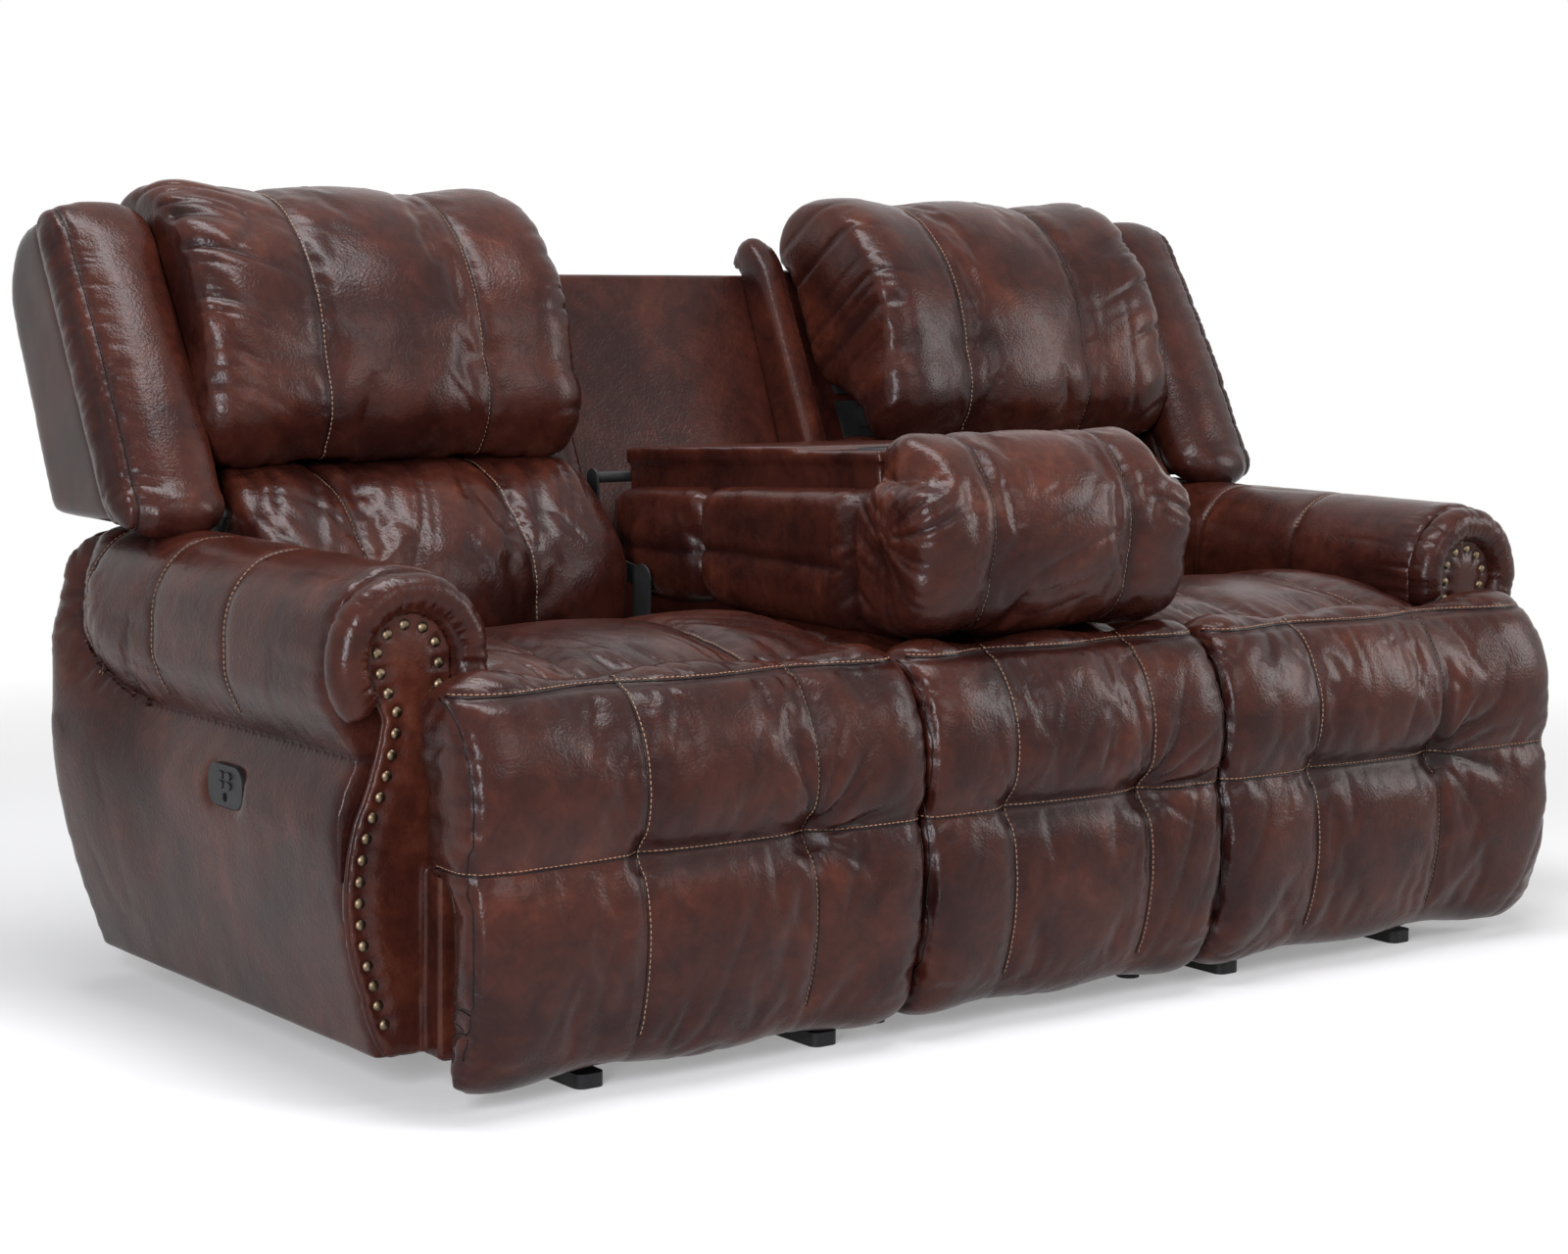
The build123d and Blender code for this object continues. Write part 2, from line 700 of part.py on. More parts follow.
def footrest_board():
    """Board of the footrest pad with two cheeks that turn on the front links' pins."""
    rear = board_front + board_thick
    board = box(rec_in + 8.0, pad_out - board_inset, board_front, rear, pad_bottom + 34.0,
                seat_bottom - 16.0)
    pad = joints_at["pad"]
    for side, (x0, x1) in enumerate(layers(5)):
        wide = (x0, x1 + 6.0) if side == 0 else (x0 - 6.0, x1)
        cheek = slab(pad, (rear, pad[1]), 2 * plate_reach, *wide)
        cheek &= box(wide[0], wide[1], rear - 1.0, pad[0] + 2 * plate_reach, 0, seat_top)
        board += cheek - rod(pad, hole_radius, *wide)
    return board


# ---- Recliner back ----
def back_shell():
    """Outside back and wing frame: a leaning board that turns upright near its top."""
    low = back_pivot[1] - 18.0
    top = [((rear_reach, knee_height + 22.0), (rear_reach, shell_top - 10.0)),
           (rear_reach - 12.0, shell_top)]
    foot = [(y_board(low), low), (y_rear(low), low), (y_rear(knee_height), knee_height)]
    board = prism(foot + top + [(y_board(shell_top), shell_top)],
                  rec_in + 2.0, rec_out - 2.0)
    crest = wing_top - 20.0
    wing = outline([
        (y_wing(wing_bottom) + band_depth, wing_bottom), (y_rear(wing_bottom), wing_bottom),
        (y_rear(knee_height), knee_height),
        ((rear_reach, knee_height + 22.0), (rear_reach, shell_top - 10.0)),
        ((rear_reach - 24.0, shell_top + 32.0), (y_wing(crest) + band_depth, crest))])
    bridge = foot[:0] + [(y_board(wing_bottom), wing_bottom), (y_rear(wing_bottom), wing_bottom),
                         (y_rear(knee_height), knee_height)] + top
    bridge = prism(bridge + [(y_board(shell_top), shell_top)], rec_out - 2.0, wing_in)
    shell = board + bridge + prism(wing, wing_in, wing_out - 4.0)
    return shell - rod(back_pivot, back_tube_radius, rec_in, rec_out)


def back_frame():
    """Steel in the back: pivot tube, two stiles, a cross strap and the headrest's hinge arms."""
    a, b = rec_in - 3.5, arm_in - 0.5
    low, high = back_pivot[1], headrest_pivot[1] + 30.0
    stile = outline([(y_board(low) - plate_thick, low), (y_board(low), low),
                     (y_board(high), high), (y_board(high) - plate_thick, high)])
    strap_low = high - 60.0
    strap = outline([(y_board(strap_low) - plate_thick, strap_low), (y_board(strap_low), strap_low),
                     (y_board(high), high), (y_board(high) - plate_thick, high)])
    inset = 60.0
    steel = prism(strap, rec_in + inset, rec_out - inset)
    for x in (rec_in + inset, rec_out - inset - 30.0):
        steel += prism(stile, x, x + 30.0)
    root = (y_board(headrest_pivot[1]) - plate_thick, headrest_pivot[1] + 6.0)
    reach = headrest_rod_radius + 6.0
    behind = prism([(y_board(low), low), (rear_reach, low), (rear_reach, sofa_height),
                    (y_board(sofa_height), sofa_height)], rec_in, rec_out)
    for x in headrest_arm_places():
        arm_plate = slab(root, headrest_pivot, 2 * reach, x, x + plate_thick)
        arm_plate -= behind
        steel += arm_plate - rod(headrest_pivot, headrest_rod_radius + run_gap, x, x + plate_thick)
    return [steel, rod(back_pivot, back_tube_radius, a, b)]


def headrest_arm_places():
    return (rec_in + 100.0, rec_out - 100.0 - plate_thick)


def y_plate(z):
    """Front face of the headrest's carrier plate."""
    return y_board(z) - plate_thick - 16.0


def headrest_frame():
    """Hinge rod, two arms and the carrier plate behind the head pillow."""
    x0, x1 = headrest_arm_places()
    frame = rod(headrest_pivot, headrest_rod_radius, x0 - 8.0, x1 + plate_thick + 8.0)
    low, high = headrest_pivot[1] + 42.0, shell_top - 26.0
    face = outline([(y_plate(low), low), (y_plate(low) + 12.0, low),
                    (y_plate(high) + 12.0, high), (y_plate(high), high)])
    frame += prism(face, x0 - 40.0, x1 + 40.0)
    for x in (x0 + 16.0, x1 - 16.0):
        tip = (y_plate(low) + 7.0, low + 7.0)
        frame += slab(headrest_pivot, tip, 12.0, x, x + plate_thick)
    return frame


def lumbar():
    """Lower back cushion, tucked in under the head pillow."""
    top, low = lumbar_top, seat_top - 77.0
    face, rise = lumbar_face, lumbar_top - low
    rear = [(y_board(low) - plate_thick, low), (y_board(top) - plate_thick, top)]
    profile = rear + [
        (y_board(top) - 88.0, top),
        ((face + 118.0, top - 0.09 * rise), (face + 40.0, top - 0.31 * rise)),
        ((face + 4.0, top - 0.48 * rise), (face, top - 0.71 * rise)),
        ((face + 1.0, top - 0.86 * rise), (face + 28.0, low))]
    mid = 0.5 * (low + top)
    return cushion(profile, (y_board(mid) - plate_thick, mid),
                   seamed(rec_in + cushion_side_gap, rec_out - cushion_side_gap, (seam_a, seam_b)))


def pillow():
    """Head pillow: a fat roll over the top of the back, seamed in three."""
    low = headrest_pivot[1] + 62.0
    plate_top = shell_top + 8.0
    crown = sofa_height
    hip = headrest_pivot[0] - 17.0
    profile = [
        (hip, headrest_pivot[1] + 22.0), (y_plate(low), low), (y_plate(plate_top), plate_top),
        (rear_reach - 16.0, plate_top + 4.0),
        ((rear_reach - 22.0, crown - 42.0), (rear_reach - 90.0, crown)),
        ((rear_reach - 170.0, crown - 11.0), (hip + 35.0, crown - 47.0)),
        ((hip - 29.0, crown - 130.0), (hip - 57.0, crown - 235.0)),
        ((hip - 61.0, crown - 298.0), (hip - 25.0, pillow_bottom))]
    mid = 0.5 * (low + plate_top)
    return cushion(profile, (y_plate(mid), mid),
                   seamed(rec_in + 7.0, wing_in - cushion_side_gap, (seam_a, seam_b)))


def wing_pad():
    """Padded front of the wing, rolled over its top and out to the side band."""
    low = wing_bottom + 2.0
    crest = wing_top - 14.0
    profile = [
        (y_wing(low) + band_depth, low), (y_wing(low) + 10.0, low),
        ((y_wing(low) - 2.0, low + 8.0), (y_wing(low + 22.0), low + 22.0)),
        ((y_wing(0.5 * (low + shell_top)) - 8.0, 0.5 * (low + shell_top)),
         (y_wing(shell_top + 15.0), shell_top + 15.0)),
        ((y_wing(shell_top) + 32.0, wing_top - 16.0), (y_wing(crest) + 22.0, wing_top)),
        ((y_wing(crest) + 42.0, wing_top - 3.0), (y_wing(crest) + band_depth, crest))]
    mid = 0.5 * (low + shell_top)
    anchor = (y_wing(mid) + band_depth, mid)
    middle = 0.5 * (wing_in + wing_out)
    return cushion(profile, anchor, [
        (wing_in + 2.0, 0.93), (wing_in + 20.0, 0.985), (middle, 1.0),
        (wing_out - 20.0, 0.985), (wing_out, 0.93)])


# ---- Fixed centre surround ----
def panel_rear(z):
    """Rear face of the panel, from the centre box up to its top."""
    foot = box_rear + 2.5
    rise = (z - panel_low) / (rear_panel_top - panel_low)
    return foot + (rear_reach - foot) * rise


def rear_panel():
    """Upholstered panel behind the console's opening."""
    low = panel_low
    thick = rear_panel_thick
    return prism([(panel_rear(low) - thick, low), (panel_rear(low), low),
                  (rear_reach, rear_panel_top), (rear_reach - thick, rear_panel_top)],
                 -(centre_half - 1.0), centre_half - 1.0)


def inner_wing():
    """Narrow padded post beside the opening, round at its top."""
    low = inner_wing_bottom
    thick = rear_panel_thick
    over = rear_panel_top + 16.0

    def front(z):
        return rear_reach - 62.0 - (inner_wing_top - z) * 0.455
    top = inner_wing_top
    profile = [
        (front(low), low), (panel_rear(low) - thick, low),
        (panel_rear(over) - thick, over), (rear_reach - 4.0, over),
        ((rear_reach - 10.0, top - 10.0), (rear_reach - 42.0, top)),
        ((front(top) + 4.0, top - 12.0), (front(top - 45.0), top - 45.0))]
    mid = 0.5 * (low + rear_panel_top)
    x0, x1 = table_half + 11.0, centre_half - 2.0
    return cushion(profile, (panel_rear(mid) - thick, mid),
                   [(x0, 0.95), (x0 + 12.0, 1.0), (x1 - 12.0, 1.0), (x1, 0.95)])


# ---- Console ----
def console_table():
    """Console body: a rail frame under a cap that steps down at the cup holders."""
    side = table_half - table_side
    rails = prism([on_table(0, 0), on_table(0, rail_depth), on_table(table_length - 6.0, rail_depth),
                   on_table(table_length - 6.0, 0)], -side, side)
    inner = prism([on_table(rail_wall, -1), on_table(rail_wall, rail_depth),
                   on_table(table_length - 6.0 - rail_wall, rail_depth),
                   on_table(table_length - 6.0 - rail_wall, -1)],
                  rail_wall - side, side - rail_wall)
    cap = prism([on_table(-2, rail_depth), on_table(-2, rail_depth + cap_high - 3),
                 on_table(1, rail_depth + cap_high), on_table(cap_step, rail_depth + cap_high),
                 on_table(cap_step + 4.0, rail_depth + cap_low),
                 on_table(table_length, rail_depth + cap_low), on_table(table_length, rail_depth)],
                -table_half, table_half)
    table = rails - inner + cap
    for x in (-cup_spacing / 2, cup_spacing / 2):
        table -= cup_blank(x, cup_radius + cup_wall)
    return table


def cup_plane(x, n):
    y, z = on_table(cup_place, n)
    lean = radians(console_tilt)
    return Plane((x, y, z), x_dir=(1, 0, 0), z_dir=(0, sin(lean), cos(lean)))


def cup_blank(x, radius):
    top = rail_depth + cap_low
    return extrude(cup_plane(x, top - cup_depth - cup_wall) * Circle(radius),
                   amount=cup_depth + cup_wall + 1.0)


def cup(x):
    """Cup holder: an open cup with a turned-out rim that rests on the cap."""
    top = rail_depth + cap_low
    section = make_face(Polyline(
        (0, -cup_depth - cup_wall), (cup_radius + cup_wall, -cup_depth - cup_wall),
        (cup_radius + cup_wall, 0), (cup_radius + cup_wall + cup_rim, 0),
        (cup_radius + cup_wall + cup_rim - 2, 3), (cup_radius, 3), (cup_radius, -cup_depth),
        (0, -cup_depth), (0, -cup_depth - cup_wall)))
    turned = revolve(Plane.XZ * section, Axis.Z)
    return cup_plane(x, top).location * turned


def console_cushion():
    """Lower section of the folded centre back, under the rear half of the table."""
    under = 0.0
    near, far = on_table(3.0, under), on_table(lumbar_length, under)
    profile = [
        near, far,
        ((far[0] + 1.0, far[1] - 50.0), (far[0] + 6.0, 0.5 * (far[1] + underside))),
        ((far[0] + 3.0, underside + 30.0), (far[0] + 24.0, underside + 2.0)),
        ((0.5 * (far[0] + near[0]), underside - 4.0), (near[0] - 34.0, underside + 8.0)),
        ((near[0] - 6.0, underside + 36.0), (near[0], underside + 76.0))]
    return cushion(profile, on_table(0.5 * lumbar_length, under),
                   seamed(-console_half, console_half, (-centre_seam, centre_seam), 0.95, 0.98))


def console_pillow():
    """Upper section and head roll of the folded centre back, round the table's front end."""
    under = 0.0
    near = on_table(lumbar_length + cushion_split, under)
    inside = on_table(table_length + 3.0, under)
    crest = on_table(table_length + 3.0, rail_depth + cap_low + 2.0)
    profile = [
        near, inside, crest,
        ((0.5 * (crest[0] + roll_front) + 4.0, roll_top + 1.0), (roll_front + 32.0, roll_top - 32.0)),
        ((roll_front, 0.5 * (roll_top + underside) + 30.0), (roll_front + 10.0, underside + 78.0)),
        ((roll_front + 36.0, underside + 8.0), (roll_front + 90.0, underside)),
        ((0.5 * (roll_front + near[0]), underside - 4.0), (near[0] - 22.0, underside + 2.0)),
        ((near[0] - 3.0, underside + 30.0), (near[0] - 6.0, 0.5 * (near[1] + underside)))]
    roll = cushion(profile, inside,
                   seamed(-console_half, console_half, (-centre_seam, centre_seam), 0.95, 0.975))
    shoulder = prism([on_table(table_length - 20.0, 4.0), on_table(table_length + 200.0, 4.0),
                      on_table(table_length + 200.0, 160.0), on_table(table_length - 20.0, 160.0)],
                     shoulder_half, console_half + 10.0)
    for corner in both(shoulder):
        roll -= corner
    return roll


def console_arms():
    """Steel arms from the console's pivots to a cross tube behind its cushions."""
    x0 = console_half + 2.0
    x1 = x0 + plate_thick
    tube_at = (table_rear[0] + 15.0, table_rear[1] + 0.5 * rail_depth)
    steel = rod(tube_at, 8.0, -x1, x1)
    heel = (table_rear[0] + 13.0, underside + 40.0)
    for sign in (1, -1):
        a, b = sorted((sign * x0, sign * x1))
        steel += slab(console_pivot, heel, 26.0, a, b) + slab(heel, tube_at, 26.0, a, b)
        p, q = sorted((sign * x0, sign * (x1 + console_ear_gap + plate_thick + 0.5)))
        steel += rod(console_pivot, console_pin_radius, p, q)
        lug = sorted((sign * (table_half - 40.0), sign * (table_half - 30.0)))
        steel += prism([on_table(0, 4.0), on_table(0, rail_depth - 4.0),
                        shifted(tube_at, (0.0, 9.0)), shifted(tube_at, (0.0, -9.0))], *lug)
    return steel


def console_ears():
    """Fixed plates on the centre box that hold the console's pivot pins."""
    x0 = console_half + 2.0 + plate_thick + console_ear_gap
    low = (console_pivot[0], seat_bottom - 110.0)
    width = 2 * (console_pin_radius + plate_reach)
    ear = slab(low, console_pivot, width, x0, x0 + plate_thick)
    ear -= rod(console_pivot, console_pin_radius + run_gap, x0, x0 + plate_thick)
    return both(ear)


# ---- Every node ----
put_sides("arm", arm())
put_sides("arm_ring", arm_ring())
put("arm_front_panels", *both(arm_panel()), *both(side_post()))
put("nailheads", *[half for nail in nails() for half in both(nail)])
put("switch_plates", *both(switch_plate()))
for number, spot in enumerate(button_spots(), start=1):
    put_sides(f"button_{number}", button(spot))

put("base_boards", base_boards())
put("base_rails", *both(base_rails()))
put("feet", *feet())
put("centre_front_pad", front_pad(-centre_half, centre_half, (-centre_seam, centre_seam)))
put("centre_seat_cushion",
    seat(3.0 - console_half, console_half - 3.0, (-centre_seam, centre_seam),
         centre_seat_rear, centre_crown))
put("centre_rear_panel", rear_panel())
put("inner_wings", *both(inner_wing()))
put("console_ears", *console_ears())

put("console_table", console_table())
put("cup_holders", cup(-cup_spacing / 2), cup(cup_spacing / 2))
put("console_cushion", console_cushion())
put("console_pillow", console_pillow())
put("console_arms", console_arms())

put_sides("seat_frame", seat_frame())
put_sides("seat_cushion", seat(rec_in + cushion_side_gap, rec_out - cushion_side_gap,
                               (seam_a, seam_b), seat_rear, seat_crown))
put_sides("drive_links", drive_links())
put_sides("steady_links", *steady_links())
put_sides("knee_plates", *knee_plates())
put_sides("upper_front_links", *upper_front_links())
put_sides("lower_front_links", *lower_front_links())
put_sides("pad_brackets", *pad_brackets())
put_sides("footrest_board", footrest_board())
put_sides("footrest_pad", footrest_pad())
put_sides("back_shell", back_shell())
put_sides("back_frame", *back_frame())
put_sides("lumbar_cushion", lumbar())
put_sides("wing_pad", wing_pad())
put_sides("headrest_frame", headrest_frame())
put_sides("headrest_pillow", pillow())
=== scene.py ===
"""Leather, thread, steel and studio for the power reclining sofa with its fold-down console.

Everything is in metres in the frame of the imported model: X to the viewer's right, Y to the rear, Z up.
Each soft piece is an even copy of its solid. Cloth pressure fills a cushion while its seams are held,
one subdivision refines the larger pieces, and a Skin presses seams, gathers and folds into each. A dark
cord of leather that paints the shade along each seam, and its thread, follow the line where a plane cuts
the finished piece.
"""
import bmesh
import bpy
import numpy as np
from math import cos, pi, radians, sin
from mathutils import Matrix, Vector
from mathutils.bvhtree import BVHTree
from mathutils.kdtree import KDTree


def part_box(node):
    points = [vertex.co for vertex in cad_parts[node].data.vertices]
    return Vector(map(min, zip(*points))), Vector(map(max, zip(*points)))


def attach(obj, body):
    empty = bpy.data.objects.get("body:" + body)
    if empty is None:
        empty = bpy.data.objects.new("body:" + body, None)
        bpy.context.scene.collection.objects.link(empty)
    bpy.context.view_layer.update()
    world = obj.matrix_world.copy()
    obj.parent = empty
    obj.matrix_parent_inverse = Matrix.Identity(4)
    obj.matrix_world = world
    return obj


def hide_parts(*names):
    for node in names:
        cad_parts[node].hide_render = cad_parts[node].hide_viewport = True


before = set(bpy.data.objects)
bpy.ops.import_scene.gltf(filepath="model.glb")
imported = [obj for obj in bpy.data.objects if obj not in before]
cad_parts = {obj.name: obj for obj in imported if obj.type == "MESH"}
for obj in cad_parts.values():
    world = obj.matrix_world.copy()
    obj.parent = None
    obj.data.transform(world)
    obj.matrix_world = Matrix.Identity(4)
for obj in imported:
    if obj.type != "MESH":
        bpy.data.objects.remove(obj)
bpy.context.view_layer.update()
scene = bpy.context.scene
mm = 0.001

# ---- Seams and places of the upholstery ----
sides = {"right": 1.0, "left": -1.0}    # the side of the sofa that a recliner is on, along X
seam_places = (435 * mm, 685 * mm)      # upright seams of a recliner, from the sofa's middle
centre_seams = (-118 * mm, 118 * mm)    # upright seams of the centre pieces
waist_z = 290 * mm                      # cross seam of the front pads
lip_z = 488 * mm                        # seam along the top of the front pads
board_front = -430 * mm                 # the boards behind the front pads
lip_rear = board_front - 40 * mm        # the lip's seam runs in front of this
lip_crown = board_front - 70 * mm       # middle of the pads' rounded top, where its puckers start
pad_face = board_front - 100 * mm       # the front pads' face at their tufts
pad_foot = 62 * mm                      # the front pads are tacked to the boards below this
pad_end = 11 * mm                       # end seams of a front pad, from its ends
seat_side = 425 * mm                    # a seat's sides are below this, and its top above
seat_lip = -400 * mm                    # front of a seat's top, where its puckers start
lumbar_waist = 700 * mm                 # where the lumbar cushions crease when the back bends
console_seam_z = 575 * mm               # cross seam round the console's lower cushion
roll_seam_z = 585 * mm                  # cross seam at the ends of the console's head roll
roll_rear = -340 * mm                   # the head roll's fat part is in front of this
roll_axis = (-400 * mm, 630 * mm)       # middle of that part in side view
roll_radius = 100 * mm
welt_in = 10 * mm                       # the wings' welt, from their outer side
inner_wing_seam = 247 * mm              # seam of the inner wings, from the sofa's middle
arm_seams = (-105 * mm, 92 * mm, 282 * mm)   # cross seams of the rolled arms
arm_axis = (908 * mm, 518 * mm)         # middle of the arm's front arch
arm_front = -352 * mm                   # where the arm's roll meets its rim
arm_radius, rim_radius = 100 * mm, 85 * mm   # of the arm's roll and of its rim's middle
rim_inner, rim_outer = 60 * mm, 125 * mm     # edges of the rim, from the arch's middle
crease_z = 404 * mm                     # crease under the arm's roll, where it is level
crease_pitch = 10 * mm                  # spacing of the points that stand for it
panel_front = -370 * mm                 # face of the nailed panels

# ---- Sizes of what is sewn and nailed ----
thread_pitch = 7 * mm
stitch_length, stitch_thick = 5.0 * mm, 0.80 * mm
# the first is the radius of the dark cord that paints the shade along each seam; the second, of the face
# panels' piping
shade_cord_radius, welt_radius = 1.25 * mm, 3.4 * mm
nail_radius, nail_height = 7.2 * mm, 4.6 * mm
nail_dimple = 14 * mm                   # how far a nail pulls the leather down round it
seam_grip = 6 * mm                      # half the width of leather that a seam holds
stitch_pull = 3.6 * mm                  # half the width of the tight line under the thread

# ---- Filling of the cushions ----
voxel, weld = 9 * mm, 1e-5              # even faces of a large cushion; points this near are one
fill_pressure, fill_frames = 3.0, 16    # the cloth's pressure, and how long it acts


# ---- Meshes ----
def link(piece):
    scene.collection.objects.link(piece)
    return piece


def built(name, verts, faces):
    """A smooth-shaded piece from its points and faces."""
    mesh = bpy.data.meshes.new(name)
    mesh.from_pydata([tuple(v) for v in verts], [], faces)
    mesh.shade_smooth()
    return link(bpy.data.objects.new(name, mesh))


def settle(piece):
    """Applies a piece's modifiers."""
    graph = bpy.context.evaluated_depsgraph_get()
    graph.update()
    made = bpy.data.meshes.new_from_object(piece.evaluated_get(graph), depsgraph=graph)
    piece.modifiers.clear()
    old = piece.data
    piece.data = made
    bpy.data.meshes.remove(old)


def points(piece):
    co = np.empty(len(piece.data.vertices) * 3)
    piece.data.vertices.foreach_get("co", co)
    return co.reshape(-1, 3)


def normals(piece):
    piece.data.update()
    no = np.empty(len(piece.data.vertices) * 3, np.float32)
    piece.data.vertex_normals.foreach_get("vector", no)
    return no.reshape(-1, 3).astype(float)


def set_points(piece, co):
    piece.data.vertices.foreach_set("co", np.ascontiguousarray(co, np.float32).ravel())
    piece.data.update()


def even_copy(name, node, size, rounds):
    """A closed copy of a node, with even faces and with its edges softened by rounds of smoothing."""
    piece = link(bpy.data.objects.new(name, bpy.data.meshes.new(name)))
    mesh = bmesh.new()
    mesh.from_mesh(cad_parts[node].data)
    bmesh.ops.remove_doubles(mesh, verts=mesh.verts, dist=weld)
    mesh.to_mesh(piece.data)
    mesh.free()
    remesh = piece.modifiers.new("even", "REMESH")
    remesh.mode = "VOXEL"
    remesh.voxel_size = size
    smooth = piece.modifiers.new("soften", "SMOOTH")
    smooth.factor = 0.5
    smooth.iterations = rounds
    settle(piece)
    piece.data.materials.clear()
    piece.data.shade_smooth()
    return piece


def refine(piece):
    subdivide = piece.modifiers.new("refine", "SUBSURF")
    subdivide.levels = subdivide.render_levels = 1
    settle(piece)
    piece.data.shade_smooth()


def puff(piece, amount):
    """Moves every point outward; amount is one length or one for each point."""
    set_points(piece, points(piece) + normals(piece) * np.reshape(amount, (-1, 1)))


def fit_width(piece, low, high=np.inf):
    """Draws the ends of a piece in so that it stays between two places across the sofa."""
    co = points(piece)
    x = co[:, 0]
    ends = (x.min(), (x.min() + x.max()) / 2, x.max())
    co[:, 0] = np.interp(x, ends, (max(low, ends[0]), ends[1], min(high, ends[2])))
    set_points(piece, co)


def both_sides(piece, name, seeds):
    """A right-hand piece and its mirror image, each with its side, sign, upright seams and seed."""
    twin = link(bpy.data.objects.new(f"{name}_left", piece.data.copy()))
    twin.data.transform(Matrix.Scale(-1, 4, (1, 0, 0)))
    twin.data.flip_normals()
    twin.data.update()
    for each, (side, sign), seed in zip((piece, twin), sides.items(), seeds):
        yield each, side, sign, [sign * place for place in seam_places], seed


def swell(piece, held, spare, cap):
    """Fills a cushion like sewn leather over foam, while the held points stay where they are sewn.

    held says how firmly each point is held, from 0 to 1. spare is the leather's share beyond the
    solid's own surface, and cap is the furthest that a point moves.
    """
    start = points(piece)
    group = piece.vertex_groups.new(name="held")
    grips = np.round(held, 1)
    for grip in np.unique(grips):
        if grip > 0:
            group.add(np.flatnonzero(grips == grip).tolist(), float(grip), "REPLACE")
    cloth = piece.modifiers.new("fill", "CLOTH")
    settings = cloth.settings
    settings.quality = 5
    settings.mass = 0.35
    settings.tension_stiffness = settings.compression_stiffness = 22
    settings.shear_stiffness = 12
    settings.bending_stiffness = 0.9
    settings.use_pressure = True
    settings.uniform_pressure_force = fill_pressure
    settings.shrink_min = -spare
    settings.vertex_group_mass = "held"
    settings.effector_weights.gravity = 0
    cloth.collision_settings.use_collision = False
    scene.frame_start, scene.frame_end = 1, fill_frames
    cloth.point_cache.frame_start, cloth.point_cache.frame_end = 1, fill_frames
    for number in range(1, fill_frames + 1):
        scene.frame_set(number)
    settle(piece)
    scene.frame_set(1)
    moved = points(piece) - start
    length = np.linalg.norm(moved, axis=1)
    set_points(piece, start + moved * (np.minimum(length, cap) / np.maximum(length, 1e-9))[:, None])
    piece.vertex_groups.clear()


# ---- Fields over a surface ----
def near(values, at, width):
    """One on a line and falling smoothly to nothing beside it."""
    return np.exp(-((values - at) / width) ** 2)


def ramp(values, start, end):
    """From 0 at start to 1 at end, smoothly; end may be the lower of the two."""
    t = np.clip((values - start) / (end - start), 0, 1)
    return t * t * (3 - 2 * t)


def lattice(cells, seed):
    """A steady random value from 0 to 1 for each cell, from multiplying and shifting its numbers."""
    spread, low_bits = 1274126177, 0xFFFFFFFF
    h = (cells[..., 0] * 374761393 + cells[..., 1] * 668265263 + cells[..., 2] * 2147483647
         + seed * spread) & low_bits
    h = ((h ^ (h >> 13)) * spread) & low_bits
    return ((h ^ (h >> 16)) & 0xFFFF) / 65535.0


def noise(co, size, seed):
    """Smooth value noise from 0 to 1; size is one length or one for each axis."""
    p = co / np.asarray(size)
    base = np.floor(p).astype(np.int64)
    f = p - base
    f = f * f * (3 - 2 * f)
    total = np.zeros(len(co))
    for corner in range(8):
        step = np.array([corner & 1, corner >> 1 & 1, corner >> 2 & 1])
        weight = np.prod(np.where(step, f, 1 - f), axis=1)
        total += weight * lattice(base + step, seed)
    return total


def ridges(co, size, seed):
    """Sharp-topped folds from 0 to 1."""
    return 1 - np.abs(2 * noise(co, size, seed) - 1)


